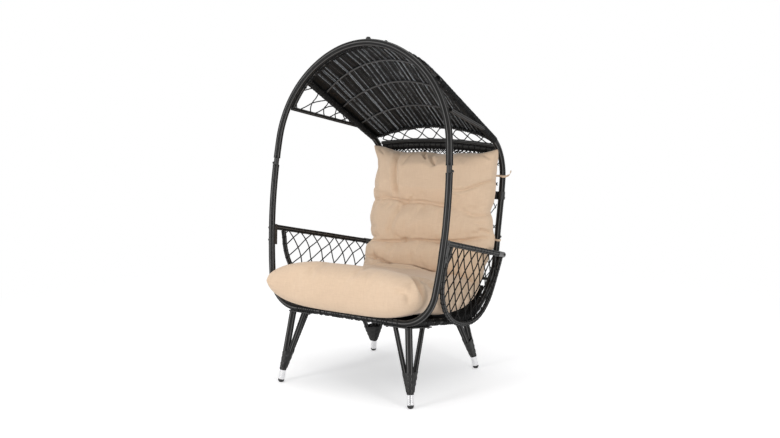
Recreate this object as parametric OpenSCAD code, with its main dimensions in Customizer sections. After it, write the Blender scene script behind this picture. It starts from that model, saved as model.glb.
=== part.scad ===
// Egg-shaped wicker garden chair on four splayed legs, with a woven canopy
// and one long tufted cushion.
//
// The basket is drawn in its own upright frame: x to the side, y (depth) from
// the front hoop backwards, z (rise) along the hoop. place_basket() leans that
// frame back by "lean" and moves it so that the origin lies on the ground under
// the middle of the chair. The chair faces -Y.

/* [Basket] */
// Backward lean of the basket, degrees
lean = 7.5; // [6:0.5:9]
// Half the width of the front hoop at its widest, tube centre
hoop_half_width = 478; // [460:1:495]
// Rise of the hoop's bottom tube centre
hoop_bottom = 364; // [350:1:380]
// Rise of the hoop's crown, tube centre
hoop_top = 1599; // [1570:1:1630]
// Rise at which the hoop is widest
waist_rise = 890; // [880:1:900]
// Radius of the hoop's bottom corners
corner_r = 160; // [150:1:165]
// Half the straight length of the hoop's bottom tube
bottom_half_run = 290; // [285:1:295]
// Radius of the hoop's shoulders
shoulder_r = 500; // [490:1:510]
// Angle above the waist at which the shoulders begin
shoulder_angle = 6; // [5.5:0.1:6.5]
// Rise of the joint between the two halves of the hoop
joint_rise = 1045; // [1020:1:1050]

/* [Tubes] */
// Main tube, over its wicker wrap
tube_d = 30; // [28:0.5:32]
// Bare steel tube at the joints
bare_d = 25; // [22:0.5:26]
// Canopy front arch
arch_d = 26; // [24:0.5:28]
// Arm rails
rail_d = 24; // [22:0.5:26]
// Moulded sleeves over the rear ends of the arm rails
sleeve_d = 29; // [27:0.5:31]
// Side panel loops
side_loop_d = 22; // [20:0.5:24]
// Canopy side bars
bar_d = 19; // [17:0.5:20]
// Rails of the back panel
loop_d = 16; // [14:0.5:18]
// Canopy ribs
rib_d = 8; // [6:0.5:9]
// Strands of the open nets
strand = 4.5; // [4:0.25:5]

/* [Rear] */
// Half the distance between the rear posts
post_half_gap = 355; // [350:1:360]
// Depth of the rear posts at mid height
post_depth = 762; // [755:1:770]
// Rise of the joint in the rear posts
post_joint_rise = 960; // [940:1:980]
// Fall of the canopy's side rails, degrees
canopy_fall = 19.6; // [18:0.1:21]

/* [Legs] */
// Front foot, half the distance between the pair
front_foot_x = 362; // [350:1:375]
// Rear foot, half the distance between the pair
rear_foot_x = 309; // [295:1:320]
// Ferrule length
ferrule_len = 44; // [40:1:50]
// Stay tubes of the legs
stay_d = 22; // [20:0.5:24]

/* [Cushion] */
// Width of the back cushion
back_cushion_w = 702; // [690:2:706]
// Thickness of the back cushion at its crown
back_cushion_t = 118; // [100:2:125]
// Depth of the sewn channels
channel_depth = 26; // [16:1:32]

/* [Hidden] */

// ---- colours ----
WICKER = [0.16, 0.15, 0.15];
STEEL = [0.24, 0.23, 0.23];
BRIGHT = [0.80, 0.80, 0.81];
RUBBER = [0.07, 0.07, 0.07];
FABRIC = [0.85, 0.76, 0.64];

// ---- shared sizes ----
depth_centre = 444.8;
tube_r = tube_d / 2;
bare_half = 16;
clear = 0.2;
smooth_fn = 48;
weld_w = 3.5;
weld_h = 0.6;

// ---- hoop outline: corner arc, side arc, shoulder arc and crown arc, all tangent ----
corner_rise = hoop_bottom + corner_r;
side_lead = hoop_half_width - bottom_half_run;
side_drop = waist_rise - corner_rise;
side_r = (side_drop * side_drop - corner_r * corner_r + side_lead * side_lead)
    / (2 * (side_lead - corner_r));
side_x = hoop_half_width - side_r;
corner_end = asin(side_drop / (side_r - corner_r));
joint_angle = asin((joint_rise - waist_rise) / side_r);
shoulder_x = side_x + (side_r - shoulder_r) * cos(shoulder_angle);
shoulder_rise = waist_rise + (side_r - shoulder_r) * sin(shoulder_angle);
crown_gap = shoulder_rise - hoop_top;
crown_r = (shoulder_r * shoulder_r - shoulder_x * shoulder_x - crown_gap * crown_gap)
    / (2 * (crown_gap + shoulder_r));
crown_rise = hoop_top - crown_r;
crown_angle = atan2(crown_rise - shoulder_rise, -shoulder_x);
bare_angle = bare_half / side_r * 180 / PI;

// Half width of the hoop's side arc at a rise
function hoop_side_x(rise) = side_x + sqrt(side_r * side_r - pow(rise - waist_rise, 2));

// ---- canopy ----
arch_depth = 29;
arch_in = 4;
arch_start = 29;
rail_rise_0 = 1458;
function rail_rise(depth) = rail_rise_0 - depth * tan(canopy_fall);
rail_start = 45;
rail_bend_start = 620;
// The bend turns from the rail's fall to the upright post
rail_bend_r = (post_depth - rail_bend_start) / (1 - sin(canopy_fall));
// The tubes run a little below the ends of the arches
rail_drop = 5;
function rail_line(depth) = rail_rise(depth) - rail_drop;
// The canopy's height above its side rails, and its front part flattened to the arch
rib_depths = [190, 333, 503];
rear_arch_depth = 660;
weave_t = 4;
function canopy_h(depth) = depth < 190 ? 149 + 11 * sin(90 * (depth - arch_depth) / 161)
    : 160 - 0.192 * (depth - 190);
function arc_radius(half, h) = (half * half + h * h) / (2 * h);

// ---- side panels lie in one plane each: x = base + taper * depth + flare * rise ----
panel_base = 303;
panel_taper = -0.1;
panel_flare = 0.2376;
function panel_x(d, z) = panel_base + panel_taper * d + panel_flare * z;
function on_panel(d, z) = [panel_x(d, z), d, z];
arm_front = on_panel(15.5, 731);
arm_rear = on_panel(795, 664);
function arm_point(d) = arm_front
    + (arm_rear - arm_front) * (d - arm_front[1]) / (arm_rear[1] - arm_front[1]);
function arm_rise(d) = arm_point(d)[2];
// Loop under the arm rail: three quarters of an egg
loop_mid = 540;
loop_low = 331;
loop_front = [463, 319];
loop_rear = [212, 159];
loop_rear_rise = 490;
loop_rear_up = 553;
loop_rear_top = 742;
// Shape of the loop's lower rear corner, from round (2) towards square
loop_power = 2.3;
// The loop ends in the underside of the arm rail
loop_drop = rail_d / 2 - 1;

// ---- side tube: rear post, bend and seat side rail, as points by hand ----
side_path = [
    [post_half_gap, post_depth, post_joint_rise],
    [post_half_gap, post_depth - 5, 870],
    [post_half_gap, post_depth - 10, 780],
    [post_half_gap, post_depth - 14, 660],
    [350, 747, 590],
    [338, 742, 530],
    [322, 722, 460],
    [308, 690, 405],
    [297, 640, 365],
    [293, 580, 344],
    [302, 380, 350],
    [320, 10, hoop_bottom + 2.5]
];

// ---- side nets ----
net_pitch = 84;
net_hook = 104;
net_reach = 430;
net_first = -6;
net_last = 14;

// ---- seat deck: follows the side tubes ----
deck_t = 6;
deck_plan = [[305, 0], [292, 380], [279, 580], [282, 640], [293, 690], [306, 722], [312, 760]];
deck_profile = [[12, 366], [300, 353], [560, 344], [620, 356], [670, 385], [705, 430], [733, 505]];
rear_rail_depth = 645;
rear_rail_rise = 352;
rear_rail_d = 24;

// ---- back panel ----
back_top = [718, 1180];
back_low_rise = 540;
back_net_top = [726, 1176];
back_net_low = [748, back_low_rise];
back_crown = 22;
canopy_rear_rail_at = [704, 1200];

// ---- legs: foot points on the ground and top points under the frame ----
front_foot = [front_foot_x, 9, 0];
rear_foot = [rear_foot_x, 719, 0];
front_top = [320, 14, hoop_bottom - tube_r - 2];
rear_top = [262, rear_rail_depth, rear_rail_rise - rear_rail_d / 2 - 2];
front_stays = [[253, 10, hoop_bottom - tube_r - 2], [322, 131, 342]];
rear_stays = [[204, rear_rail_depth, rear_rail_rise - rear_rail_d / 2 - 2], [293, 530, 328]];
// Heights over the ground: where the stays' lines meet the leg's, where the stays begin, and the fork
stay_meet = 36;
stay_start = 66;
fork_rise = 150;
cap_r = 15;
cap_rise = 12;
ferrule_start = 15;
leg_plate_t = 5;

// ================= helpers =================
function unit(v) = v / norm(v);
function flip(p, side) = [side * p[0], p[1], p[2]];
// A basket point as a point of the leaning, standing chair, and the reverse
function standing(p) = [
    p[0],
    p[2] * sin(lean) + p[1] * cos(lean) - depth_centre,
    p[2] * cos(lean) - p[1] * sin(lean)
];
function grounded(p) = [p[0], p[1] - depth_centre, p[2]];

module place_basket() {
    translate([0, -depth_centre, 0]) rotate([-lean, 0, 0]) children();
}

module both_sides() {
    children();
    mirror([1, 0, 0]) children();
}

// Turns +Z to the direction from a to b and moves to a
module along(a, b) {
    v = b - a;
    translate(a)
        rotate([0, acos(v[2] / norm(v)), atan2(v[1], v[0])])
            children();
}

module rod(a, b, d) {
    along(a, b) cylinder(h = norm(b - a), d = d, $fn = smooth_fn);
}

// Tube along an arc in the hoop's plane, angles from +x towards up
module hoop_arc(x, rise, r, from, to, d, depth = 0) {
    translate([x, depth, rise])
        rotate([90, 0, 0])
            rotate([0, 0, from])
                rotate_extrude(angle = to - from, $fn = 720)
                    translate([r, 0]) circle(d = d, $fn = smooth_fn);
}

// Thin ring of weld round a tube, where two of its stretches meet
module arc_weld(x, rise, r, at, d, depth = 0) {
    turn = weld_w / r * 90 / PI;
    hoop_arc(x, rise, r, at - turn, at + turn, d + weld_h, depth);
}

// Ring of weld at point p of a straight run that heads for q
module straight_weld(p, q, d) {
    step = unit(q - p) * weld_w / 2;
    rod(p - step, p + step, d + weld_h);
}

// Circular arch between two sides at one depth, from its half span and its height.
// trim shortens it at both ends, to where it meets the tubes that carry it.
module arch(half, h, depth, rise, d, trim = 0) {
    r = arc_radius(half, h);
    edge = asin(half / r) - trim / r * 180 / PI;
    hoop_arc(0, rise + h - r, r, 90 - edge, 90 + edge, d, depth);
}

// Points of a smooth curve through hand-set points
function curve_point(p0, p1, p2, p3, t) =
    0.5 * (2 * p1 + (p2 - p0) * t + (2 * p0 - 5 * p1 + 4 * p2 - p3) * t * t
    + (3 * p1 - p0 - 3 * p2 + p3) * t * t * t);
function smooth_path(p, steps) = let (n = len(p)) concat(
    [for (i = [0 : n - 2], k = [0 : steps - 1]) curve_point(
        i > 0 ? p[i - 1] : 2 * p[0] - p[1], p[i], p[i + 1],
        i < n - 2 ? p[i + 2] : 2 * p[n - 1] - p[n - 2], k / steps)],
    [p[n - 1]]
);

// Round tube swept along a path; up is never parallel to the path
module swept_tube(path, d, up, sides = 12) {
    n = len(path);
    rings = [for (i = [0 : n - 1])
        let (
            t = unit(path[min(i + 1, n - 1)] - path[max(i - 1, 0)]),
            a = unit(cross(up, t)),
            b = cross(t, a)
        )
        for (k = [0 : sides - 1])
            path[i] + d / 2 * (cos(360 * k / sides) * a + sin(360 * k / sides) * b)];
    walls = [for (i = [0 : n - 2], k = [0 : sides - 1])
        let (
            p = i * sides + k,
            q = i * sides + (k + 1) % sides
        )
        each [[p, p + sides, q], [q, p + sides, q + sides]]];
    ends = [for (k = [1 : sides - 2])
        each [[0, k, k + 1], [(n - 1) * sides, (n - 1) * sides + k + 1, (n - 1) * sides + k]]];
    polyhedron(points = rings, faces = concat(walls, ends), convexity = 8);
}

// Bolt with a low round head; the head stands up from z = 0 and the shank goes down
module bolt(shank, head_d = 12, head_h = 5, shank_d = 6) {
    cylinder(h = head_h * 0.6, d = head_d, $fn = smooth_fn);
    translate([0, 0, head_h * 0.6]) cylinder(h = head_h * 0.4, d = head_d * 0.7, $fn = smooth_fn);
    translate([0, 0, -shank]) cylinder(h = shank, d = shank_d, $fn = smooth_fn);
}

module bolt_hole(shank, d = 6.4) {
    translate([0, 0, -shank - 1]) cylinder(h = shank + 40, d = d, $fn = smooth_fn);
}

// ================= front hoop =================
module hoop_half_lower() {
    hoop_arc(bottom_half_run, corner_rise, corner_r, -90, -corner_end, tube_d);
    hoop_arc(side_x, waist_rise, side_r, -corner_end, joint_angle - bare_angle, tube_d);
    arc_weld(bottom_half_run, corner_rise, corner_r, -90, tube_d);
    arc_weld(side_x, waist_rise, side_r, -corner_end, tube_d);
    hoop_arc(side_x, waist_rise, side_r, joint_angle - bare_angle - 0.1, joint_angle - 0.01, bare_d);
}

module at_hoop_joint() {
    translate([side_x, 0, waist_rise]) rotate([0, -joint_angle, 0]) translate([side_r, 0, 0]) children();
}

spigot_d = 19;
spigot_half = 45;
joint_bolt_drop = 9;

module joint_bolt_place() {
    at_hoop_joint() translate([bare_d / 2, 0, -joint_bolt_drop]) rotate([0, 90, 0]) children();
}

module hoop_lower() {
    color(WICKER)
        place_basket()
            difference() {
                union() {
                    translate([-bottom_half_run, 0, hoop_bottom])
                        rotate([0, 90, 0]) cylinder(h = 2 * bottom_half_run, d = tube_d, $fn = smooth_fn);
                    both_sides() hoop_half_lower();
                }
                both_sides() {
                    at_hoop_joint() translate([0, 0, -spigot_half - 1])
                        cylinder(h = spigot_half + 5, d = spigot_d + clear, $fn = smooth_fn);
                    joint_bolt_place() bolt_hole(20);
                    arm_bolt_places() bolt_hole(22);
                }
            }
}

module hoop_upper() {
    color(WICKER)
        place_basket()
            difference() {
                union() {
                    both_sides() {
                        hoop_arc(side_x, waist_rise, side_r, joint_angle + 0.01,
                            joint_angle + bare_angle + 0.1, bare_d);
                        hoop_arc(side_x, waist_rise, side_r, joint_angle + bare_angle,
                            shoulder_angle, tube_d);
                        arc_weld(side_x, waist_rise, side_r, shoulder_angle, tube_d);
                        hoop_arc(shoulder_x, shoulder_rise, shoulder_r, shoulder_angle, crown_angle, tube_d);
                        arc_weld(0, crown_rise, crown_r, crown_angle, tube_d);
                    }
                    hoop_arc(0, crown_rise, crown_r, crown_angle, 180 - crown_angle, tube_d);
                }
                both_sides() at_hoop_joint() translate([0, 0, -5])
                    cylinder(h = spigot_half + 6, d = spigot_d + clear, $fn = smooth_fn);
                canopy_bolt_places() bolt_hole(46);
            }
}

// Inner sleeves that join the two halves of the hoop
module hoop_spigots() {
    color(STEEL)
        place_basket()
            both_sides() difference() {
                at_hoop_joint() translate([0, 0, -spigot_half])
                    cylinder(h = 2 * spigot_half, d = spigot_d, $fn = smooth_fn);
                joint_bolt_place() bolt_hole(20);
            }
}

module hoop_joint_bolts() {
    color(STEEL)
        place_basket()
            both_sides() joint_bolt_place() bolt(19.5, 13, 8);
}

// ================= rear side tubes and canopy rails =================
module side_tube(side) {
    path = smooth_path(side_path, 2);
    color(WICKER)
        place_basket()
            swept_tube([for (p = path) flip(p, side)], tube_d, [1, 0, 0]);
}

module side_tube_left() { side_tube(-1); }
module side_tube_right() { side_tube(1); }

// Straight rail, bend and the upper part of the rear post, in one plane
bend_depth = rail_bend_start - rail_bend_r * sin(canopy_fall);
bend_rise = rail_line(rail_bend_start) - rail_bend_r * cos(canopy_fall);
post_top = [post_half_gap, post_depth, bend_rise];
post_foot = [post_half_gap, post_depth, post_joint_rise + 1];
rail_front = [post_half_gap, rail_start, rail_line(rail_start)];
rail_end = [post_half_gap, rail_bend_start, rail_line(rail_bend_start)];

module canopy_rail_right() {
    color(WICKER)
        place_basket()
            union() {
                rod(rail_front, rail_end, tube_d);
                translate([post_half_gap, bend_depth, bend_rise])
                    rotate([90, 0, 90])
                        rotate_extrude(angle = 90 - canopy_fall, $fn = 240)
                            translate([rail_bend_r, 0]) circle(d = tube_d, $fn = smooth_fn);
                rod(post_top, post_foot, tube_d);
                straight_weld(rail_end, rail_front, tube_d);
                straight_weld(post_top, post_foot, tube_d);
            }
}

module canopy_rail_left() {
    mirror([1, 0, 0]) canopy_rail_right();
}

// Collars over the joints of the rear posts
collar_len = 40;
module post_collars() {
    color(STEEL)
        place_basket()
            both_sides() translate([post_half_gap, post_depth, post_joint_rise - collar_len / 2])
                rotate([-1, 0, 0]) difference() {
                    cylinder(h = collar_len, d = tube_d + 5, $fn = smooth_fn);
                    translate([0, 0, -1]) cylinder(h = collar_len + 2, d = tube_d + 1.2, $fn = smooth_fn);
                }
}

module post_bolts() {
    color(STEEL)
        place_basket()
            both_sides() {
                translate([post_half_gap + tube_r + 2.5, post_depth, post_joint_rise - 10])
                    rotate([0, 90, 0]) bolt(2, 10, 2.5);
                translate([post_half_gap + tube_r - 0.4, post_depth - 11, 756])
                    rotate([0, 90, 0]) bolt(2, 12, 6);
            }
}

// ================= seat =================
module seat_rear_rail() {
    color(WICKER)
        place_basket()
            rod([-284, rear_rail_depth, rear_rail_rise], [284, rear_rail_depth, rear_rail_rise], rear_rail_d);
}

// Profile of a sheet of even thickness along points in depth and rise
function sheet_outline(p, t) = let (
    n = len(p),
    side = [for (i = [0 : n - 1])
        let (d = unit(p[min(i + 1, n - 1)] - p[max(i - 1, 0)]))
        [-d[1], d[0]] * t / 2]
) concat(
    [for (i = [0 : n - 1]) p[i] + side[i]],
    [for (i = [n - 1 : -1 : 0]) p[i] - side[i]]
);

module seat_deck() {
    color(WICKER)
        place_basket()
            intersection() {
                translate([-400, 0, 0])
                    rotate([90, 0, 90])
                        linear_extrude(height = 800)
                            polygon(sheet_outline(smooth_path(deck_profile, 3), deck_t));
                linear_extrude(height = 800)
                    polygon(concat(deck_plan, [for (i = [len(deck_plan) - 1 : -1 : 0])
                        [-deck_plan[i][0], deck_plan[i][1]]]));
            }
}

// ================= canopy =================
module canopy_front_arch() {
    color(WICKER)
        place_basket()
            difference() {
                union() {
                    both_sides() {
                        hoop_arc(shoulder_x, shoulder_rise, shoulder_r - arch_in,
                            arch_start, crown_angle, arch_d, arch_depth);
                        arc_weld(0, crown_rise, crown_r - arch_in, crown_angle, arch_d, arch_depth);
                    }
                    hoop_arc(0, crown_rise, crown_r - arch_in,
                        crown_angle, 180 - crown_angle, arch_d, arch_depth);
                }
                canopy_bolt_places() bolt_hole(46);
            }
}

module canopy_ribs() {
    color(STEEL)
        place_basket()
            for (d = rib_depths)
                arch(post_half_gap, canopy_h(d), d, rail_rise(d), rib_d, tube_r - 1);
}

module canopy_rear_arch() {
    color(WICKER)
        place_basket()
            arch(post_half_gap, canopy_h(rear_arch_depth) - 2, rear_arch_depth,
                rail_rise(rear_arch_depth), rib_d + 4, tube_r - 1);
}

module canopy_rear_rail() {
    color(WICKER)
        place_basket()
            arch(post_half_gap, back_crown + 2, canopy_rear_rail_at[0], canopy_rear_rail_at[1],
                loop_d + 2, tube_r - 1);
}

bar_front = [434, 40, 1303];
bar_rear = [359, 516, 1268];
module canopy_bar_right() {
    color(WICKER) place_basket() rod(bar_front, bar_rear, bar_d);
}
module canopy_bar_left() {
    mirror([1, 0, 0]) canopy_bar_right();
}

// Barrel-vaulted woven sheet over the ribs, from the front arch to the rear arch
weave_lift = rib_d / 2 + weave_t / 2 + 0.3;
weave_half = 343;
weave_from = 44;
weave_to = 664;
weave_rows = 12;
weave_cols = 24;
function weave_point(i, j, out) = let (
    d = weave_from + (weave_to - weave_from) * i / weave_rows,
    h = canopy_h(d),
    r = arc_radius(post_half_gap, h),
    edge = asin(weave_half / (r + weave_lift)),
    a = -edge + 2 * edge * j / weave_cols
) [(r + weave_lift + out) * sin(a), d, rail_rise(d) + h - r + (r + weave_lift + out) * cos(a)];

module canopy_weave() {
    n = weave_cols + 1;
    m = weave_rows + 1;
    points = [for (out = [-weave_t / 2, weave_t / 2], i = [0 : weave_rows], j = [0 : weave_cols])
        weave_point(i, j, out)];
    top = n * m;
    quads = [for (i = [0 : weave_rows - 1], j = [0 : weave_cols - 1]) i * n + j];
    rim = concat(
        [for (j = [0 : n - 2]) [j, j + 1]],
        [for (i = [0 : m - 2]) [i * n + n - 1, (i + 1) * n + n - 1]],
        [for (j = [n - 2 : -1 : 0]) [(m - 1) * n + j + 1, (m - 1) * n + j]],
        [for (i = [m - 2 : -1 : 0]) [(i + 1) * n, i * n]]
    );
    color(WICKER)
        place_basket()
            polyhedron(
                points = points,
                faces = concat(
                    [for (q = quads) each [[q, q + 1, q + n], [q + 1, q + n + 1, q + n]]],
                    [for (q = quads) each [[top + q, top + q + n, top + q + 1],
                        [top + q + 1, top + q + n, top + q + n + 1]]],
                    [for (e = rim) each [[e[0], top + e[0], e[1]], [e[1], top + e[0], top + e[1]]]]
                ),
                convexity = 6
            );
}

// ---- flat nets ----
// Frame of a plane: origin, first direction and second direction, both unit
// vectors. The net is drawn flat with x along the first and y along the second.
module in_plane(origin, e1, e2) {
    n = cross(e1, e2);
    multmatrix([
        [e1[0], e2[0], n[0], origin[0]],
        [e1[1], e2[1], n[1], origin[1]],
        [e1[2], e2[2], n[2], origin[2]],
        [0, 0, 0, 1]
    ]) children();
}

// Flat strand between two points
module strip(a, b, w = strand) {
    v = b - a;
    translate(a) rotate([0, 0, atan2(v[1], v[0])]) translate([0, -w / 2]) square([norm(v), w]);
}

// Strands on one slant across a rectangle [x0, x1] x [y0, y1]
module slant_family(x0, x1, y0, y1, pitch, run, w = strand) {
    reach = abs(run) + pitch;
    for (x = [x0 - reach : pitch : x1 + reach])
        strip([x, y0], [x + run, y1], w);
}

// Canopy side net: hanging loops in the triangle of arch, rail and bar
net_a = [post_half_gap, 52, rail_rise(52)];
net_b = [bar_front[0], 46, bar_front[2]];
net_c = [post_half_gap + 1, 505, rail_rise(505)];
net_e1 = unit(net_c - net_b);
net_n = unit(cross(net_e1, net_a - net_b));
net_e2 = cross(net_n, net_e1);
function net_flat(p) = [(p - net_b) * net_e1, (p - net_b) * net_e2];
net_loops = [
    [20, 62, 52], [95, 50, 46], [165, 40, 40], [225, 32, 35],
    [280, 25, 30], [328, 18, 25], [370, 12, 21]
];

module canopy_net_right() {
    a = net_flat(net_a);
    c = net_flat(net_c);
    color(WICKER)
        place_basket()
            in_plane(net_b, net_e1, net_e2)
                translate([0, 0, -strand / 2]) linear_extrude(height = strand)
                    intersection() {
                        polygon([[0, 0], c, a]);
                        union() {
                            for (l = net_loops) translate([l[0] + l[2] * 0.6, l[1]]) difference() {
                                circle(r = l[2] + strand / 2, $fn = smooth_fn);
                                circle(r = l[2] - strand / 2, $fn = smooth_fn);
                            }
                            for (k = [0 : 4]) strip([0, 22 + 26 * k], [460, 2 + 5 * k], strand);
                            for (k = [1 : 5]) strip(a + (c - a) * k / 6, [40 + 88 * k, 0], strand);
                        }
                    }
}
module canopy_net_left() {
    mirror([1, 0, 0]) canopy_net_right();
}

// Lens-shaped net between the rear arch and the canopy's rear rail
rear_net_low = [0, canopy_rear_rail_at[0], canopy_rear_rail_at[1]];
rear_net_e2 = unit([0, rear_arch_depth - canopy_rear_rail_at[0],
    rail_rise(rear_arch_depth) + canopy_h(rear_arch_depth) - canopy_rear_rail_at[1] - back_crown]);
module canopy_rear_net() {
    low_r = arc_radius(post_half_gap, back_crown + 8);
    high_h = canopy_h(rear_arch_depth) + 20;
    high_r = arc_radius(post_half_gap, high_h);
    color(WICKER)
        place_basket()
            in_plane(rear_net_low, [1, 0, 0], rear_net_e2)
                translate([0, 0, -strand / 2]) linear_extrude(height = strand)
                    intersection() {
                        translate([0, high_h - high_r]) circle(r = high_r, $fn = 360);
                        difference() {
                            union() {
                                slant_family(-340, 340, -10, 110, 68, 95);
                                slant_family(-340, 340, -10, 110, 68, -95);
                            }
                            translate([0, back_crown + 8 - low_r]) circle(r = low_r, $fn = 720);
                        }
                        translate([-330, 0]) square([660, 200]);
                    }
}

// Bolts that hold the canopy's arch to the hoop; the one on the crown has a high round cap
canopy_bolt_angles = [77, 90, 103];
crown_cap_at = 90;
crown_cap_d = 23;
crown_cap_h = 11;
crown_cap_lift = 2.2;
module canopy_bolt_places(angles = canopy_bolt_angles) {
    for (a = angles)
        translate([0, arch_depth * 0.45, crown_rise])
            rotate([0, 90 - a, 0]) translate([0, 0, crown_r + tube_r - 2]) children();
}

module canopy_bolts() {
    color(STEEL)
        place_basket() {
            canopy_bolt_places([for (a = canopy_bolt_angles) if (a != crown_cap_at) a]) bolt(20, 14, 6);
            canopy_bolt_places([crown_cap_at]) {
                bolt(20, 12, 3);
                translate([0, 0, crown_cap_lift]) bolt(2, crown_cap_d, crown_cap_h, 5.5);
            }
        }
}

// ================= back panel =================
module back_top_rail() {
    color(WICKER)
        place_basket()
            arch(post_half_gap, back_crown, back_top[0], back_top[1], loop_d + 2, tube_r - 1);
}

mid_rail_half = post_half_gap - 42;
mid_rail_depth = post_depth - 12;
mid_rail_d = loop_d - 2;
module back_mid_rail() {
    color(WICKER)
        place_basket()
            rod([-mid_rail_half, mid_rail_depth, post_joint_rise],
                [mid_rail_half, mid_rail_depth, post_joint_rise], mid_rail_d);
}

// Half length and depth of the bottom rail, between the side tubes
bottom_rail = [328, 745];
module back_bottom_rail() {
    color(WICKER)
        place_basket()
            rod([-bottom_rail[0], bottom_rail[1], back_low_rise],
                [bottom_rail[0], bottom_rail[1], back_low_rise], loop_d);
}

// Ribbed blocks that hold the middle rail to the posts
clip_size = [24, 22, 40];
module back_clips() {
    color(RUBBER)
        place_basket()
            both_sides()
                translate([mid_rail_half, mid_rail_depth, post_joint_rise])
                translate([0, -clip_size[1] / 2, -clip_size[2] / 2])
                    difference() {
                        cube(clip_size);
                        for (k = [0 : 3]) translate([4, -1, 5 + 9 * k]) cube([13, 3.5, 4]);
                        translate([-1, clip_size[1] / 2, clip_size[2] / 2])
                            rotate([0, 90, 0])
                                cylinder(h = 14, d = mid_rail_d + 2 * clear, $fn = smooth_fn);
                    }
}

back_net_len = norm(back_net_top - back_net_low);
module back_net() {
    half = post_half_gap - 9;
    e2 = unit([0, back_net_top[0] - back_net_low[0], back_net_top[1] - back_net_low[1]]);
    color(WICKER)
        place_basket()
            in_plane([0, back_net_low[0], back_net_low[1]], [1, 0, 0], e2)
                translate([0, 0, -strand / 2]) linear_extrude(height = strand)
                    intersection() {
                        polygon([[-half + 16, 0], [half - 16, 0], [half, 110], [half, back_net_len],
                            [-half, back_net_len], [-half, 110]]);
                        union() {
                            slant_family(-half, half, 0, back_net_len, 66, 400);
                            slant_family(-half, half, 0, back_net_len, 66, -400);
                        }
                    }
}

// ================= side panels =================
module arm_rail_right() {
    color(WICKER)
        place_basket()
            rod(arm_front, arm_point(sleeve_start), rail_d);
}
module arm_rail_left() {
    mirror([1, 0, 0]) arm_rail_right();
}

// Moulded sleeves on the rear ends of the arm rails, past the rear posts
sleeve_start = 680;
sleeve_end = 770;
module arm_rail_ends() {
    from = arm_point(sleeve_start + 0.2);
    to = arm_point(sleeve_end);
    len = norm(to - from);
    color(STEEL)
        place_basket()
            both_sides() along(from, to)
                rotate_extrude($fn = smooth_fn)
                    polygon([[0, 0], [sleeve_d / 2, 0], [sleeve_d / 2, len],
                        [sleeve_d / 2 - 5, len + 5], [0, len + 5]]);
}

// The loop's line, moved inwards by inset
function loop_line(inset) = let (
    front = loop_front - [inset, inset],
    rear = loop_rear - [inset, inset],
    up = loop_rear_up - inset,
    top = arm_rise(loop_rear_top) - loop_drop - loop_rear_rise
) concat(
    [for (z = [arm_rise(84) - loop_drop, 695, 672]) on_panel(79 + inset, z)],
    [for (a = [0 : 9 : 90]) on_panel(loop_mid - front[0] * cos(a),
        loop_low + loop_front[1] - front[1] * sin(a))],
    [for (a = [15 : 15 : 90]) on_panel(
        loop_mid + rear[0] * pow(1 - pow(cos(a), loop_power), 1 / loop_power),
        loop_rear_rise - rear[1] * cos(a))],
    [for (k = [1 : 4]) on_panel(loop_mid + rear[0] * sqrt(1 - pow(top / up * k / 4, 2)),
        loop_rear_rise + top * k / 4)]
);

module side_loop(side) {
    color(WICKER)
        place_basket()
            swept_tube([for (p = loop_line(0)) flip(p, side)], side_loop_d, [1, 0, 0], 10);
}
module side_loop_left() { side_loop(-1); }
module side_loop_right() { side_loop(1); }

// The net's plane: x along the arm rail from its front end, y square to it
panel_e1 = unit(arm_rear - arm_front);
panel_n = unit([1, -panel_taper, -panel_flare]);
panel_e2 = cross(panel_n, panel_e1);
function panel_flat(p) = [(p - arm_front) * panel_e1, (p - arm_front) * panel_e2];

// Strands hang from points one pitch apart along the rail; steep and shallow are
// the sideways runs of the two families over the net's full depth
module side_net(steep, shallow) {
    flat = [for (p = loop_line(side_loop_d / 2 - 1)) panel_flat(p)];
    in_plane(arm_front, panel_e1, panel_e2)
        translate([0, 0, -strand / 2]) linear_extrude(height = strand)
            intersection() {
                polygon(flat);
                for (k = [net_first : net_last]) {
                    strip([net_hook + k * net_pitch, 0], [net_hook + k * net_pitch + steep, -net_reach]);
                    strip([net_hook + k * net_pitch, 0], [net_hook + k * net_pitch + shallow, -net_reach]);
                }
            }
}
module side_net_left() {
    color(WICKER) place_basket() mirror([1, 0, 0]) side_net(150, -640);
}
module side_net_right() {
    color(WICKER) place_basket() side_net(430, -235);
}

// Channel brackets that carry the arm rails on the hoop
bracket_rises = [647, 744];
module arm_brackets() {
    mid = (bracket_rises[0] + bracket_rises[1]) / 2;
    color(STEEL)
        place_basket()
            both_sides() difference() {
                translate([hoop_side_x(mid), 8.5, mid]) rotate([0, 4, 0])
                    cube([tube_d + 7, 19, bracket_rises[1] - bracket_rises[0]], center = true);
                hoop_arc(side_x, waist_rise, side_r, -corner_end + 1, 0, tube_d + 0.6);
                arm_bolt_places() bolt_hole(22);
                rod(arm_front, arm_rear, rail_d + 0.2);
            }
}

arm_bolt_rises = [668, 726];
module arm_bolt_places() {
    for (z = arm_bolt_rises)
        translate([hoop_side_x(z) + tube_r + 3.5, 4, z])
            rotate([0, 94, 0]) children();
}

module arm_bolts() {
    color(STEEL)
        place_basket()
            both_sides() {
                arm_bolt_places() bolt(20, 12, 5);
                translate(arm_point(post_depth - 12) + [sleeve_d / 2 - 1, 0, 0])
                    rotate([0, 90, 0]) bolt(1, 12, 5);
            }
}

// ================= legs =================
// foot and top are points of the standing chair; side is 1 (right) or -1 (left)
function leg_point(foot, top, z) = foot + (top - foot) * z / (top[2] - foot[2]);

front_foot_at = grounded(front_foot);
rear_foot_at = grounded(rear_foot);
front_top_at = standing(front_top);
rear_top_at = standing(rear_top);
front_stays_at = [for (s = front_stays) standing(s)];
rear_stays_at = [for (s = rear_stays) standing(s)];

// Point of a stay's line at a height over the ground
function stay_point(meet, s, z) = meet + (s - meet) * (z - meet[2]) / (s[2] - meet[2]);

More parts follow.
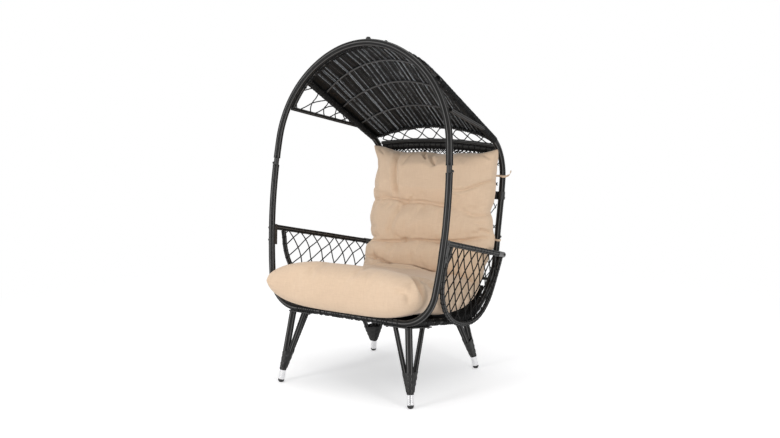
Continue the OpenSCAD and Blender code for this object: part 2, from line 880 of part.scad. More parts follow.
module leg(foot, top, stays) {
    start = leg_point(foot, top, ferrule_start + ferrule_len);
    core = leg_point(foot, top, ferrule_start + 8);
    meet = leg_point(foot, top, stay_meet);
    difference() {
        union() {
            rod(start, top, tube_d);
            rod(core, start, bare_d - 0.4);
            for (s = stays) rod(stay_point(meet, s, stay_start), s, stay_d);
        }
        along(leg_point(foot, top, 0), top) cylinder(h = 55, d = 18, $fn = smooth_fn);
    }
}

// Underside of the plates that carry the legs
front_plate_rise = hoop_bottom - tube_r - leg_plate_t - 0.2;
rear_plate_rise = rear_rail_rise - rear_rail_d / 2 - leg_plate_t - 0.2;

module front_leg_right() {
    union() {
        leg(front_foot_at, front_top_at, front_stays_at);
        place_basket() difference() {
            union() {
                translate([205, -12, front_plate_rise]) cube([124, 26, leg_plate_t]);
                translate([304, 0, front_plate_rise])
                    rotate([-2.6, 0, 0]) cube([26, 205, leg_plate_t]);
            }
            front_leg_bolt_places() bolt_hole(20);
        }
    }
}

module front_leg_bolt_places() {
    translate([216, 1, front_plate_rise + 0.2]) rotate([180, 0, 0]) children();
    translate([317, 190, front_plate_rise - 8.5]) rotate([177.4, 0, 0]) children();
}

module rear_leg_right() {
    union() {
        leg(rear_foot_at, rear_top_at, rear_stays_at);
        place_basket() difference() {
            translate([146, rear_rail_depth - 12, rear_plate_rise])
                cube([132, 24, leg_plate_t]);
            rear_leg_bolt_places() bolt_hole(20);
        }
    }
}

module rear_leg_bolt_places() {
    translate([158, rear_rail_depth, rear_plate_rise + 0.2]) rotate([180, 0, 0]) children();
}

module leg_front_right() { color(WICKER) front_leg_right(); }
module leg_front_left() { color(WICKER) mirror([1, 0, 0]) front_leg_right(); }
module leg_rear_right() { color(WICKER) rear_leg_right(); }
module leg_rear_left() { color(WICKER) mirror([1, 0, 0]) rear_leg_right(); }

// Wicker wound over the meeting of the three tubes, from the ferrule up to the fork
module binding(foot, top, stays) {
    low = leg_point(foot, top, ferrule_start + ferrule_len + 1);
    high = leg_point(foot, top, fork_rise);
    meet = leg_point(foot, top, stay_meet);
    difference() {
        union() {
            rod(low, high, tube_d + 5);
            for (q = stays) rod(stay_point(meet, q, stay_start), stay_point(meet, q, fork_rise), stay_d + 3);
        }
        rod(leg_point(foot, top, 0), leg_point(foot, top, fork_rise + 30), tube_d + 0.4);
        for (q = stays) rod(meet, stay_point(meet, q, fork_rise + 30), stay_d + 0.4);
    }
}
module leg_bindings() {
    color(WICKER) both_sides() {
        binding(front_foot_at, front_top_at, front_stays_at);
        binding(rear_foot_at, rear_top_at, rear_stays_at);
    }
}

module leg_bolts() {
    color(STEEL)
        place_basket()
            both_sides() {
                front_leg_bolt_places() bolt(12, 13, 5);
                rear_leg_bolt_places() bolt(12, 13, 5);
            }
}

module ferrule(foot, top) {
    a = leg_point(foot, top, ferrule_start);
    b = leg_point(foot, top, ferrule_start + ferrule_len - 0.3);
    color(BRIGHT) along(a, b) difference() {
        cylinder(h = norm(b - a), d = tube_d + 1, $fn = smooth_fn);
        translate([0, 0, -1]) cylinder(h = norm(b - a) + 2, d = bare_d, $fn = smooth_fn);
    }
}
module ferrule_front_right() { ferrule(front_foot_at, front_top_at); }
module ferrule_front_left() { mirror([1, 0, 0]) ferrule_front_right(); }
module ferrule_rear_right() { ferrule(rear_foot_at, rear_top_at); }
module ferrule_rear_left() { mirror([1, 0, 0]) ferrule_rear_right(); }

// Black end plug with a round nose, flat where it stands on the ground
stem_d = 17.6;
stem_top = 44;
module glide(foot, top) {
    nose = leg_point(foot, top, cap_rise);
    lip = leg_point(foot, top, ferrule_start - 0.3);
    color(RUBBER) union() {
        difference() {
            translate(nose) sphere(r = cap_r, $fn = 64);
            translate(foot + [-40, -40, -40]) cube([80, 80, 40]);
            along(lip, top) cylinder(h = 40, d = 60, $fn = smooth_fn);
        }
        rod(nose, leg_point(foot, top, stem_top), stem_d);
    }
}
module glide_front_right() { glide(front_foot_at, front_top_at); }
module glide_front_left() { mirror([1, 0, 0]) glide_front_right(); }
module glide_rear_right() { glide(rear_foot_at, rear_top_at); }
module glide_rear_left() { mirror([1, 0, 0]) glide_rear_right(); }

// ================= cushion =================
// A padded form on a middle sheet: sheet(u, w) gives its points, and the pad
// swells to both sides of it from a seam all round. u and w run from -1 to 1.
pad_cols = 22;
pad_rows = 24;
function puff(t, e) = pow(max(1 - pow(abs(t), e), 0), 0.5);
function dip(w, at, width) = exp(-pow((w - at) / width, 2));

function pad_index(i, j, n) = i * n + j;

// mids, fronts and backs are grids of points; fronts and backs meet in the rim
module pad(fronts, backs) {
    m = len(fronts);
    n = len(fronts[0]);
    count = m * n;
    points = concat([for (row = fronts) each row], [for (row = backs) each row]);
    rimmed = function (i, j) i == 0 || j == 0 || i == m - 1 || j == n - 1;
    back_at = function (i, j) rimmed(i, j) ? pad_index(i, j, n) : count + pad_index(i, j, n);
    faces = [for (i = [0 : m - 2], j = [0 : n - 2])
        let (
            a = pad_index(i, j, n),
            b = pad_index(i, j + 1, n),
            c = pad_index(i + 1, j, n),
            d = pad_index(i + 1, j + 1, n),
            e = back_at(i, j),
            f = back_at(i, j + 1),
            g = back_at(i + 1, j),
            h = back_at(i + 1, j + 1)
        )
        each (i < m / 2) == (j < n / 2)
            ? [[a, d, b], [a, c, d], [e, f, h], [e, h, g]]
            : [[a, c, b], [b, c, d], [e, f, g], [f, h, g]]];
    polyhedron(points = points, faces = faces, convexity = 6);
}

// Back cushion: a panel above and below each sewn channel
back_low = [625, 545];
back_high = [672, 1188];
back_shift = 12;
back_bow = 20;
back_sag = 24;
back_share = 0.62;
back_channels = [898, 706];
back_tufts = [-105, 105];
panel_rise = 195;
function back_at(w) = (w + 1) / 2;
function back_rise(u, w) = back_low[1] + (back_high[1] - back_low[1]) * back_at(w)
    - back_sag * (1 - pow(u, 4)) * pow(back_at(w), 6);
function back_depth(w) = back_low[0] + (back_high[0] - back_low[0]) * back_at(w) + back_bow * (1 - w * w);
function back_half(w) = back_cushion_w / 2 + 9 * cos(360 * (back_rise(1, w) - 800) / panel_rise)
    - 6 * (1 - pow(abs(w), 3));
function channel_sink(x, z) = max([for (c = back_channels)
    dip(z, c, 15) * (0.55 + 0.45 * max([for (t = back_tufts) dip(x, t, 60)]))]);
function back_front_t(u, w) = back_cushion_t * back_share * puff(u, 4) * puff(w, 5)
    - channel_depth * channel_sink(u * back_half(w), back_rise(u, w)) * puff(u, 8);
function back_rear_t(u, w) = back_cushion_t * (1 - back_share) * puff(u, 4) * puff(w, 5);
function back_point(u, w, t) = [back_shift + u * back_half(w), back_depth(w) - t, back_rise(u, w)];

function edge(u, w) = abs(u) > 0.999 || abs(w) > 0.999;
function grid(f) = [for (i = [0 : pad_rows]) [for (j = [0 : pad_cols])
    f(2 * j / pad_cols - 1, 2 * i / pad_rows - 1)]];

module cushion_back() {
    front = function (u, w) back_point(u, w, edge(u, w) ? 0 : max(back_front_t(u, w), 1));
    rear = function (u, w) back_point(u, w, edge(u, w) ? 0 : -max(back_rear_t(u, w), 1));
    color(FABRIC) place_basket() pad(grid(front), grid(rear));
}

// Seat cushion: a thick front roll that stands out before the hoop, with one
// corner pulled out past the hoop, then a sewn channel and the seat behind it
seat_front = -72;
seat_rear = 600;
seat_channel = 185;
function seat_depth(w) = seat_front + (seat_rear - seat_front) * (w + 1) / 2;
function seat_mid(d) = 480 - 30 * dip(d, 340, 150);
function seat_left(d) = 342 + 108 * dip(d, -35, 95) + 30 * dip(d, 100, 70);
function seat_right(d) = 380 + 8 * dip(d, 40, 60) - 60 * dip(d, seat_front, 40)
    - 12 * dip(d, seat_channel, 30);
function seat_x(u, d) = (u < 0 ? seat_left(d) : seat_right(d)) * u;
function seat_top_t(u, w) = let (d = seat_depth(w))
    (76 + 10 * dip(d, 20, 90)) * puff(u, 5) * puff(w, 8) - 24 * dip(d, seat_channel, 18) * puff(u, 8);
function seat_low_t(u, w) = let (d = seat_depth(w))
    (84 + 14 * dip(d, 20, 90)) * puff(u, 4) * puff(w, 8);
function seat_point(u, w, t) = [seat_x(u, seat_depth(w)), seat_depth(w), seat_mid(seat_depth(w)) + t];

module cushion_seat() {
    top = function (u, w) seat_point(u, w, edge(u, w) ? 0 : max(seat_top_t(u, w), 1));
    low = function (u, w) seat_point(u, w, edge(u, w) ? 0 : -max(seat_low_t(u, w), 1));
    color(FABRIC) place_basket() pad(grid(low), grid(top));
}

// Small knots at the tufts
module tuft_ties() {
    color(FABRIC)
        place_basket()
            for (x = back_tufts, z = back_channels)
                translate([x, back_depth(2 * (z - back_low[1]) / (back_high[1] - back_low[1]) - 1)
                    - back_cushion_t * back_share + channel_depth - 4.4, z])
                    rotate([90, 0, 0]) cylinder(h = 3, d = 9, $fn = smooth_fn);
}

// Fabric straps that tie the cushion to the rear posts, each with a short tail
strap_h = 11;
strap_rises = [1056, 735];
module cushion_ties() {
    color(FABRIC)
        place_basket()
            both_sides() for (z = strap_rises)
                translate([post_half_gap, post_depth - (z > 900 ? 2 : 12), z])
                    linear_extrude(height = strap_h)
                        difference() {
                            union() {
                                circle(d = tube_d + 4, $fn = smooth_fn);
                                translate([-26, -24]) rotate([0, 0, 20]) square([22, 3]);
                            }
                            circle(d = tube_d + 1, $fn = smooth_fn);
                        }
}

hoop_lower();
hoop_upper();
hoop_spigots();
hoop_joint_bolts();
side_tube_left();
side_tube_right();
canopy_rail_left();
canopy_rail_right();
post_collars();
post_bolts();
seat_rear_rail();
seat_deck();
canopy_front_arch();
canopy_ribs();
canopy_rear_arch();
canopy_rear_rail();
canopy_bar_left();
canopy_bar_right();
canopy_weave();
canopy_net_left();
canopy_net_right();
canopy_rear_net();
canopy_bolts();
back_top_rail();
back_mid_rail();
back_bottom_rail();
back_clips();
back_net();
arm_rail_left();
arm_rail_right();
arm_rail_ends();
side_loop_left();
side_loop_right();
side_net_left();
side_net_right();
arm_brackets();
arm_bolts();
leg_front_left();
leg_front_right();
leg_rear_left();
leg_rear_right();
leg_bindings();
leg_bolts();
ferrule_front_left();
ferrule_front_right();
ferrule_rear_left();
ferrule_rear_right();
glide_front_left();
glide_front_right();
glide_rear_left();
glide_rear_right();
cushion_seat();
cushion_back();
tuft_ties();
cushion_ties();
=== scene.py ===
import math

import bpy
import numpy as np
from mathutils import Matrix

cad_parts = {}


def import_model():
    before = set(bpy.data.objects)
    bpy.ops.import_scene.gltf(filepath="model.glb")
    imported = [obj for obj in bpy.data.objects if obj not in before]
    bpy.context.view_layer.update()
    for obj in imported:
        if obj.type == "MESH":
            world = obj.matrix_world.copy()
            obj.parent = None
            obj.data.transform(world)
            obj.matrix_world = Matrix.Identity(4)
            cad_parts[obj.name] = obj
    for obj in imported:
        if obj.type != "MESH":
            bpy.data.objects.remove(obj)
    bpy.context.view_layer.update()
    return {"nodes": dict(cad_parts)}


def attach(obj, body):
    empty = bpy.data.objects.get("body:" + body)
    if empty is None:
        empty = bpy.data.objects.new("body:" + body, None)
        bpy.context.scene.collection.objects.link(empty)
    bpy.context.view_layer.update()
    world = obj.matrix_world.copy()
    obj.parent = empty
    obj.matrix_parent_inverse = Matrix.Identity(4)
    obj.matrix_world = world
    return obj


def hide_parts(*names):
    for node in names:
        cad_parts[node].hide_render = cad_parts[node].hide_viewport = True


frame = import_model()

# ---- frame of the basket
# Basket points are (x, depth, rise) in millimetres, as in part.scad. The basket leans
# back by LEAN and stands with DEPTH_CENTRE over the origin.
LEAN = math.radians(7.5)
DEPTH_CENTRE = 444.8


def world(p):
    """Basket points in millimetres as points of the room in metres."""
    p = np.asarray(p, float)
    x, depth, rise = p[..., 0], p[..., 1], p[..., 2]
    y = rise * math.sin(LEAN) + depth * math.cos(LEAN) - DEPTH_CENTRE
    z = rise * math.cos(LEAN) - depth * math.sin(LEAN)
    return np.stack([x, y, z], -1) / 1000


def mirrored(p):
    return np.asarray(p, float) * [-1, 1, 1]


# ---- camera
AZIMUTH = math.radians(32.86)
DOWN = math.radians(7.30)
EYE = (2.426, -3.7958, 1.334)
LENS = 43.43


def placed(name, data):
    """A new object in the scene."""
    o = bpy.data.objects.new(name, data)
    bpy.context.scene.collection.objects.link(o)
    return o


def aim(o, at, right, back):
    """Puts an object at a point, with its own x along right and its own z along back."""
    rows = np.eye(4)
    for column, way in enumerate((right, np.cross(back, right), back, at)):
        rows[:3, column] = way
    o.matrix_world = Matrix(rows.tolist())


def set_camera():
    data = bpy.data.cameras.new("camera")
    data.sensor_width = 36
    data.sensor_fit = "HORIZONTAL"
    data.lens = LENS
    data.clip_end = 60
    cam = placed("camera", data)
    level = math.cos(DOWN)
    back = np.array([math.sin(AZIMUTH) * level, -math.cos(AZIMUTH) * level, math.sin(DOWN)])
    aim(cam, EYE, np.array([math.cos(AZIMUTH), math.sin(AZIMUTH), 0.0]), back)
    bpy.context.scene.camera = cam


set_camera()

# ---- materials


class Nodes:
    """A node tree, with short calls to add and link nodes."""

    def __init__(self, tree):
        self.tree = tree

    def add(self, kind, inputs=None, **settings):
        n = self.tree.nodes.new(kind)
        for key, value in settings.items():
            setattr(n, key, value)
        for key, value in (inputs or {}).items():
            self.put(n.inputs[key], value)
        return n

    def put(self, socket, value):
        """Links an output to the socket, or sets its plain value."""
        if isinstance(value, bpy.types.NodeSocket):
            self.tree.links.new(value, socket)
        else:
            socket.default_value = value

    def math(self, operation, *values):
        return self.add("ShaderNodeMath", dict(enumerate(values)), operation=operation).outputs[0]

    def plus(self, a, b):
        return self.math("ADD", a, b)

    def times(self, a, b):
        return self.math("MULTIPLY", a, b)

    def place(self):
        return self.add("ShaderNodeTexCoord").outputs["Object"]

    def noise(self, vector, scale, detail, **inputs):
        inputs.update(Vector=vector, Scale=scale, Detail=detail)
        return self.add("ShaderNodeTexNoise", inputs).outputs["Fac"]

    def soft_step(self, value, low, high):
        """0 at low, 1 at high, with a soft rise between them."""
        inputs = {"Value": value, "From Min": low, "From Max": high}
        return self.add("ShaderNodeMapRange", inputs, interpolation_type="SMOOTHSTEP").outputs["Result"]

    def ramp(self, factor, stops):
        n = self.add("ShaderNodeValToRGB", {"Fac": factor})
        while len(n.color_ramp.elements) < len(stops):
            n.color_ramp.elements.new(0.5)
        for element, (at, colour) in zip(n.color_ramp.elements, stops):
            element.position = at
            element.color = (*colour, 1)
        return n.outputs["Color"]


class Look(Nodes):
    """A material and the nodes that make it."""

    def __init__(self, name):
        self.material = bpy.data.materials.new(name)
        self.material.use_nodes = True
        super().__init__(self.material.node_tree)
        self.shader = self.tree.nodes["Principled BSDF"]

    def set(self, **values):
        for key, value in values.items():
            self.put(self.shader.inputs[key.replace("_", " ")], value)

    def bump(self, height, distance, strength):
        n = self.add("ShaderNodeBump", {"Height": height, "Distance": distance, "Strength": strength})
        self.put(self.shader.inputs["Normal"], n.outputs["Normal"])


def grey(v, warm=0.0):
    """Grey of value v, warmer or cooler by a share of it."""
    return (v * (1 + warm), v, v * (1 - warm))


def wicker_material(name, dark, light, rough=0.42, streak=7.0, shine=0.3, painted_highlight=None, dash=9.0,
                    even=0.6, steps=(0.2, 0.5, 0.85)):
    """Flat plastic rattan: each strip has its own tone, with streaks along it.
    The map "wrap" counts strips across in u, and metres along in v. streak is how often the
    tone changes across a strip, dash how often in a metre, even how much of it is the strip's
    own, steps place the tones, and painted_highlight is a lighter colour painted along each
    strip's middle: a painted highlight that stands in for the lamps' shine on each strip."""
    m = Look(name)
    uv = m.add("ShaderNodeUVMap", uv_map="wrap").outputs["UV"]
    parts = m.add("ShaderNodeSeparateXYZ", {"Vector": uv})
    u, v = parts.outputs["X"], parts.outputs["Y"]
    own = m.add("ShaderNodeTexWhiteNoise", {"W": m.math("FLOOR", u)}, noise_dimensions="1D")
    stretched = m.add("ShaderNodeCombineXYZ", {"X": m.times(u, streak), "Y": m.times(v, dash)})
    streaks = m.noise(stretched.outputs["Vector"], 1.0, 5.0, Roughness=0.6)
    patches = m.noise(m.place(), 14.0, 3.0)
    mix = m.plus(m.times(own.outputs["Value"], even), m.times(streaks, 0.95 - even))
    mix = m.plus(mix, m.times(patches, 0.1))
    middle = tuple(a * 0.7 + b * 0.3 for a, b in zip(dark, light))
    colour = m.ramp(mix, list(zip(steps, (dark, middle, light))))
    # Painted highlight: a light colour painted along the middle of each strip, in place of the lamps' shine
    # on it.
    if painted_highlight:
        side = m.math("ABSOLUTE", m.math("SUBTRACT", m.math("FRACT", u), 0.5))
        crown = m.times(m.soft_step(side, 0.20, 0.04), m.plus(m.times(streaks, 1.6), -0.15))
        blend = m.add("ShaderNodeMix", {0: crown, 6: colour}, data_type="RGBA")
        blend.inputs[7].default_value = (*painted_highlight, 1)
        colour = blend.outputs[2]
    rim = m.add("ShaderNodeLayerWeight", {"Blend": 0.5}).outputs["Facing"]
    edge = m.plus(m.times(rim, 0.35), rough - 0.2)
    m.set(Base_Color=colour, Roughness=m.plus(m.times(streaks, 0.3), edge))
    m.shader.inputs["Specular IOR Level"].default_value = shine
    m.bump(streaks, 0.0006, 0.6)
    return m.material


def steel_material(name, colour, rough, grain=220.0, metal=0.0):
    """Powder-coated or plated metal with a fine uneven surface."""
    m = Look(name)
    place = m.place()
    fine = m.noise(place, grain, 4.0)
    wide = m.noise(place, 18.0, 2.0)
    mix = m.plus(m.times(fine, 0.5), m.times(wide, 0.5))
    dark = tuple(c * 0.8 for c in colour)
    light = tuple(min(c * 1.15, 1) for c in colour)
    m.set(Base_Color=m.ramp(mix, [(0.3, dark), (0.7, light)]), Metallic=metal)
    m.set(Roughness=m.plus(m.times(wide, 0.25), rough - 0.12))
    m.bump(fine, 0.0002, 0.5)
    return m.material


def fabric_material(name):
    """Plain-woven cushion cover: fine threads both ways, soft slubs and a light sheen."""
    m = Look(name)
    place = m.place()
    turned = m.add("ShaderNodeMapping", {"Vector": place, "Rotation": (-LEAN, 0, 0)}).outputs["Vector"]
    threads = []
    for axis in ("X", "Z"):
        n = m.add("ShaderNodeTexWave", {"Vector": turned, "Scale": 260.0, "Distortion": 1.2,
                                        "Detail": 1.0, "Detail Scale": 2.0},
                  wave_type="BANDS", bands_direction=axis)
        threads.append(n.outputs["Fac"])
    weave = m.times(threads[0], threads[1])
    slubs = []
    for stretch in ((30, 30, 260), (260, 30, 30)):
        way = m.add("ShaderNodeMapping", {"Vector": turned, "Scale": stretch}).outputs["Vector"]
        slubs.append(m.noise(way, 1.0, 4.0))
    both = m.times(m.plus(slubs[0], slubs[1]), 0.5)
    mix = m.plus(m.times(both, 0.75), m.times(m.noise(place, 5.0, 3.0), 0.25))
    m.set(Base_Color=m.ramp(mix, [(0.25, (0.63, 0.46, 0.32)), (0.50, (0.69, 0.515, 0.365)),
                                  (0.75, (0.74, 0.565, 0.41))]))
    m.set(Roughness=0.85, Sheen_Weight=0.25, Sheen_Roughness=0.5)
    m.shader.inputs["Specular IOR Level"].default_value = 0.25
    m.bump(m.plus(weave, both), 0.0004, 0.35)
    return m.material


# The wicker gets a painted highlight: a light grey painted along the middle of each strip.
WICKER = wicker_material("wicker", grey(0.002, 0.05), grey(0.012, 0.03), rough=0.36, shine=0.22,
                         painted_highlight=grey(0.15, 0.02))
STRAND = wicker_material("strand", grey(0.003, 0.04), grey(0.009, 0.03), rough=0.5, streak=3.0, shine=0.2)
WEAVE = wicker_material("weave", grey(0.0015, -0.05), grey(0.010, -0.08), streak=5.0, shine=0.2)
# The warps' light tone is a painted highlight: bright dashes of shine painted into the strands' colour.
# Their dark tone is their own colour.
WARP = wicker_material("warp", grey(0.006, -0.08), grey(0.56, -0.08), rough=0.28, streak=3.0, shine=0.5,
                       dash=75.0, even=0.28, steps=(0.46, 0.58, 0.74))
BRAID = wicker_material("braid", grey(0.003, 0.05), grey(0.035, 0.03), streak=3.0)
STEEL = steel_material("dark_steel", grey(0.018, 0.02), rough=0.42)
RIB = steel_material("rib_steel", grey(0.055, 0.02), rough=0.32)
BRIGHT = steel_material("bright_steel", (0.80, 0.80, 0.81), rough=0.22, grain=500.0, metal=1.0)
RUBBER = steel_material("black_moulding", grey(0.018), rough=0.5, grain=300.0)
FABRIC = fabric_material("cushion_fabric")

# ---- meshes


def corners(n):
    """The four corners of each cell of a grid, one after the other."""
    return np.stack([n[:-1, :-1], n[:-1, 1:], n[1:, 1:], n[1:, :-1]], 2)


class Soup:
    """Collects tubes and sheets into one mesh with the map "wrap"."""

    def __init__(self):
        self.points, self.faces, self.maps, self.count = [], [], [], 0

    def grid(self, points, u, v, closed=False):
        """Quads over an array of points (rows, columns, 3); u along columns, v along rows."""
        rows, cols = points.shape[:2]
        n = np.arange(rows * cols).reshape(rows, cols) + self.count
        if closed:
            n = np.concatenate([n, n[:, :1]], 1)
        uu = np.broadcast_to(u, n.shape)
        vv = np.broadcast_to(np.asarray(v)[:, None], n.shape)
        self.points.append(points.reshape(-1, 3))
        self.faces += corners(n).reshape(-1, 4).tolist()
        self.maps.append(corners(np.stack([uu, vv], -1)).reshape(-1, 2))
        self.count += rows * cols
        return n

    def fan(self, ring, centre, flip, at):
        """Closes a ring of point numbers with triangles round a centre."""
        self.points.append(np.asarray(centre, float).reshape(1, 3))
        c = self.count
        self.count += 1
        for i in range(len(ring) - 1):
            a, b = (ring[i + 1], ring[i]) if flip else (ring[i], ring[i + 1])
            self.faces.append([c, a, b])
        self.maps.append(np.tile(at, (3 * (len(ring) - 1), 1)))

    def sleeve(self, rings, u, v, first, last, tone=0.0, end=0.0):
        """Closed rings of points, with both ends filled round the points first and last."""
        n = self.grid(rings, u, v, closed=True)
        self.fan(n[0], first, False, (tone, 0))
        self.fan(n[-1], last, True, (tone, end))

    def tube(self, path, radius, angles, u, up):
        """Tube along a path in metres. radius is one number or an array (rings, angles)."""
        path = np.asarray(path, float)
        side, over, length = path_frames(path, up)
        shape = (len(path), np.shape(angles)[-1])
        rad = np.broadcast_to(radius, shape)[..., None]
        turn = np.broadcast_to(angles, shape)[..., None]
        rings = path[:, None] + rad * (np.cos(turn) * side[:, None] + np.sin(turn) * over[:, None])
        self.sleeve(rings, u, length, path[0], path[-1], u[0], length[-1])

    def wire(self, path, diameter, sides, up, tone=0):
        angles = np.arange(sides) * 2 * math.pi / sides
        self.tube(path, diameter / 2, angles, tone + np.linspace(0, 0.98, sides + 1), up)

    def tape(self, path, across, out, section, tone, v):
        """Flat strip: a section of six (across, out) points carried along a path."""
        across = np.broadcast_to(across, path.shape)[:, None]
        section = np.array(section)[None]
        rings = path[:, None] + section[..., :1] * across + section[..., 1:] * out[:, None]
        self.sleeve(rings[:, ::-1], tone + np.linspace(0, 0.98, 7), v, path[0], path[-1], tone)

    def build(self, name, material):
        mesh = bpy.data.meshes.new(name)
        mesh.from_pydata(np.concatenate(self.points).tolist(), [], self.faces)
        layer = mesh.uv_layers.new(name="wrap")
        layer.uv.foreach_set("vector", np.concatenate(self.maps).astype(np.float32).ravel())
        mesh.polygons.foreach_set("use_smooth", [True] * len(mesh.polygons))
        mesh.materials.append(material)
        mesh.update()
        return placed(name, mesh)


def unit(v):
    """Vectors scaled to length 1."""
    return v / np.maximum(np.linalg.norm(v, axis=-1, keepdims=True), 1e-12)


def lengths(path):
    """The length of a path up to each of its points."""
    return np.concatenate([[0], np.cumsum(np.linalg.norm(np.diff(path, axis=0), axis=1))])


def points_at(where, at, points):
    """Points of a line at the values where, if its own points stand at the values at."""
    return np.stack([np.interp(where, at, points[:, k]) for k in range(points.shape[1])], -1)


def path_frames(path, up):
    """Two directions square to each point of the path, and the length up to it.
    up is a direction never parallel to the path, or None to carry a frame along."""
    ahead = unit(np.gradient(path, axis=0))
    if up is not None:
        up = np.broadcast_to(np.asarray(up, float), path.shape)
        side = unit(up - (up * ahead).sum(-1, keepdims=True) * ahead)
    else:
        side = np.empty_like(path)
        first = np.eye(3)[np.argmin(abs(ahead[0]))]
        for i, t in enumerate(ahead):
            first = first - first.dot(t) * t
            first /= np.linalg.norm(first)
            side[i] = first
    return side, np.cross(ahead, side), lengths(path)


def smooth(points, step):
    """Points of a smooth curve through given points, about one step apart."""
    p = np.asarray(points, float)
    p = np.concatenate([[2 * p[0] - p[1]], p, [2 * p[-1] - p[-2]]])
    out = []
    for i in range(1, len(p) - 2):
        t = np.linspace(0, 1, 13)[:-1, None]
        a, b, c, d = p[i - 1], p[i], p[i + 1], p[i + 2]
        out.append(0.5 * (2 * b + (c - a) * t + (2 * a - 5 * b + 4 * c - d) * t ** 2
                          + (3 * b - a - 3 * c + d) * t ** 3))
    out.append(p[-2:-1])
    return spaced(np.concatenate(out), step)


def spaced(path, step):
    """The same line with points at equal distances of about one step."""
    path = np.asarray(path, float)
    gap = np.linalg.norm(np.diff(path, axis=0), axis=1)
    path = path[np.concatenate([[True], gap > 1e-9])]
    length = lengths(path)
    n = max(2, int(round(length[-1] / step)) + 1)
    return points_at(np.linspace(0, length[-1], n), length, path)


def smooth_flat(points):
    """The smooth curve of points that have two coordinates, with points 1 mm apart."""
    return smooth(np.concatenate([np.zeros((len(points), 1)), points], 1), 1.0)[:, 1:]


def line(*points):
    """Straight line through points."""
    return np.asarray(points, float)


def level(half, depth, rise):
    """Straight line from side to side."""
    return line((-half, depth, rise), (half, depth, rise))


# Profile of a strip: places across it, and how far they lie below its crown in mm
STRIP_AT = np.array([0.0, 0.08, 0.24, 0.5, 0.76, 0.92])
STRIP_FALL = np.array([2.6, 0.9, 0.2, 0.0, 0.2, 0.9])


def wrap_tube(soup, path, diameter, strips, seed, up, ends=(0.0, 0.0), step=9.0, phase=0.0):
    """Tube of flat rattan strips laid along it, with grooves between them. path and diameter
    are in basket millimetres; the strips are counted from up, as in path_frames; ends are the
    swell of the wrap at its two ends; phase turns it by part of a strip."""
    rng = np.random.default_rng(seed)
    path = world(spaced(path, step))
    length = lengths(path) * 1000
    total = length[-1]
    k = np.repeat(np.arange(strips), len(STRIP_AT))
    t = np.tile(STRIP_AT, strips)
    fall = np.tile(STRIP_FALL, strips)
    width = 2 * math.pi / strips
    wander = sum(rng.uniform(0.4, 1) * np.sin(length / rng.uniform(60, 260) + rng.uniform(0, 7))
                 for _ in range(4)) * 0.035
    angles = (k + t + phase) * width + wander[:, None]
    lift = rng.uniform(-0.35, 0.1, strips)[k]
    wave = np.zeros((len(path), strips))
    for _ in range(3):
        wave += 0.09 * np.sin(length[:, None] / rng.uniform(18, 90, strips) + rng.uniform(0, 7, strips))
    radius = diameter / 2 - fall + lift + wave[:, k]
    for at, swell in zip((length, total - length), ends):
        radius += (swell * np.exp(-(at / 7.0) ** 2))[:, None]
    u = np.concatenate([k + t, [strips]]) + rng.integers(0, 50)
    soup.tube(path, radius / 1000, angles, u, up)
    return soup


def piece(soup, name, material, slot, *nodes):
    """Makes the mesh, and says what it rides on and the CAD nodes that it replaces; slot is not used."""
    o = soup.build(name, material)
    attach(o, "root")
    if nodes:
        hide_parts(*nodes)


def wrapped(node, side, path, diameter, strips, seed, up, **more):
    """The wrap of a tube, in place of its CAD node; side is "left", "right" or empty. The rest
    is as in wrap_tube."""
    tail = f"_{side}" if side else ""
    soup = wrap_tube(Soup(), path, diameter, strips, seed, up, **more)
    piece(soup, f"{node}_wrap{tail}", WICKER, "wicker", node + tail)


SIDES = (("left", -1), ("right", 1))
SIDEWAYS = (1, 0, 0)
UPWARDS = (0, 0, 1)
DOWNWARDS = (0, 0, -1)
DEPTHWAYS = (0.0, math.cos(LEAN), -math.sin(LEAN))

# ---- hoop
WRAPPED = 31.2
HOOP_HALF, HOOP_LOW, HOOP_TOP, WAIST = 478.0, 364.0, 1599.0, 890.0
CORNER_R, BOTTOM_HALF, SHOULDER_R, SHOULDER_AT, JOINT = 160.0, 290.0, 500.0, 6.0, 1045.0
corner_rise = HOOP_LOW + CORNER_R
lead, drop = HOOP_HALF - BOTTOM_HALF, WAIST - corner_rise
SIDE_R = (drop ** 2 - CORNER_R ** 2 + lead ** 2) / (2 * (lead - CORNER_R))
SIDE_X = HOOP_HALF - SIDE_R
CORNER_END = math.degrees(math.asin(drop / (SIDE_R - CORNER_R)))
JOINT_ANGLE = math.degrees(math.asin((JOINT - WAIST) / SIDE_R))
SHOULDER_X = SIDE_X + (SIDE_R - SHOULDER_R) * math.cos(math.radians(SHOULDER_AT))
SHOULDER_RISE = WAIST + (SIDE_R - SHOULDER_R) * math.sin(math.radians(SHOULDER_AT))
crown_gap = SHOULDER_RISE - HOOP_TOP
CROWN_R = (SHOULDER_R ** 2 - SHOULDER_X ** 2 - crown_gap ** 2) / (2 * (crown_gap + SHOULDER_R))
CROWN_RISE = HOOP_TOP - CROWN_R
CROWN_ANGLE = math.degrees(math.atan2(CROWN_RISE - SHOULDER_RISE, -SHOULDER_X))
BARE_HALF = 16.0
BARE_ANGLE = math.degrees(BARE_HALF / SIDE_R)


def arc(x, rise, r, start, end, depth=0.0, step=4.0):
    """Arc round (x, rise) from one angle to another, in degrees up from the x axis."""
    n = max(3, int(abs(end - start) * math.pi / 180 * r / step) + 1)
    a = np.radians(np.linspace(start, end, n))
    return np.stack([x + r * np.cos(a), np.full(n, float(depth)), rise + r * np.sin(a)], 1)


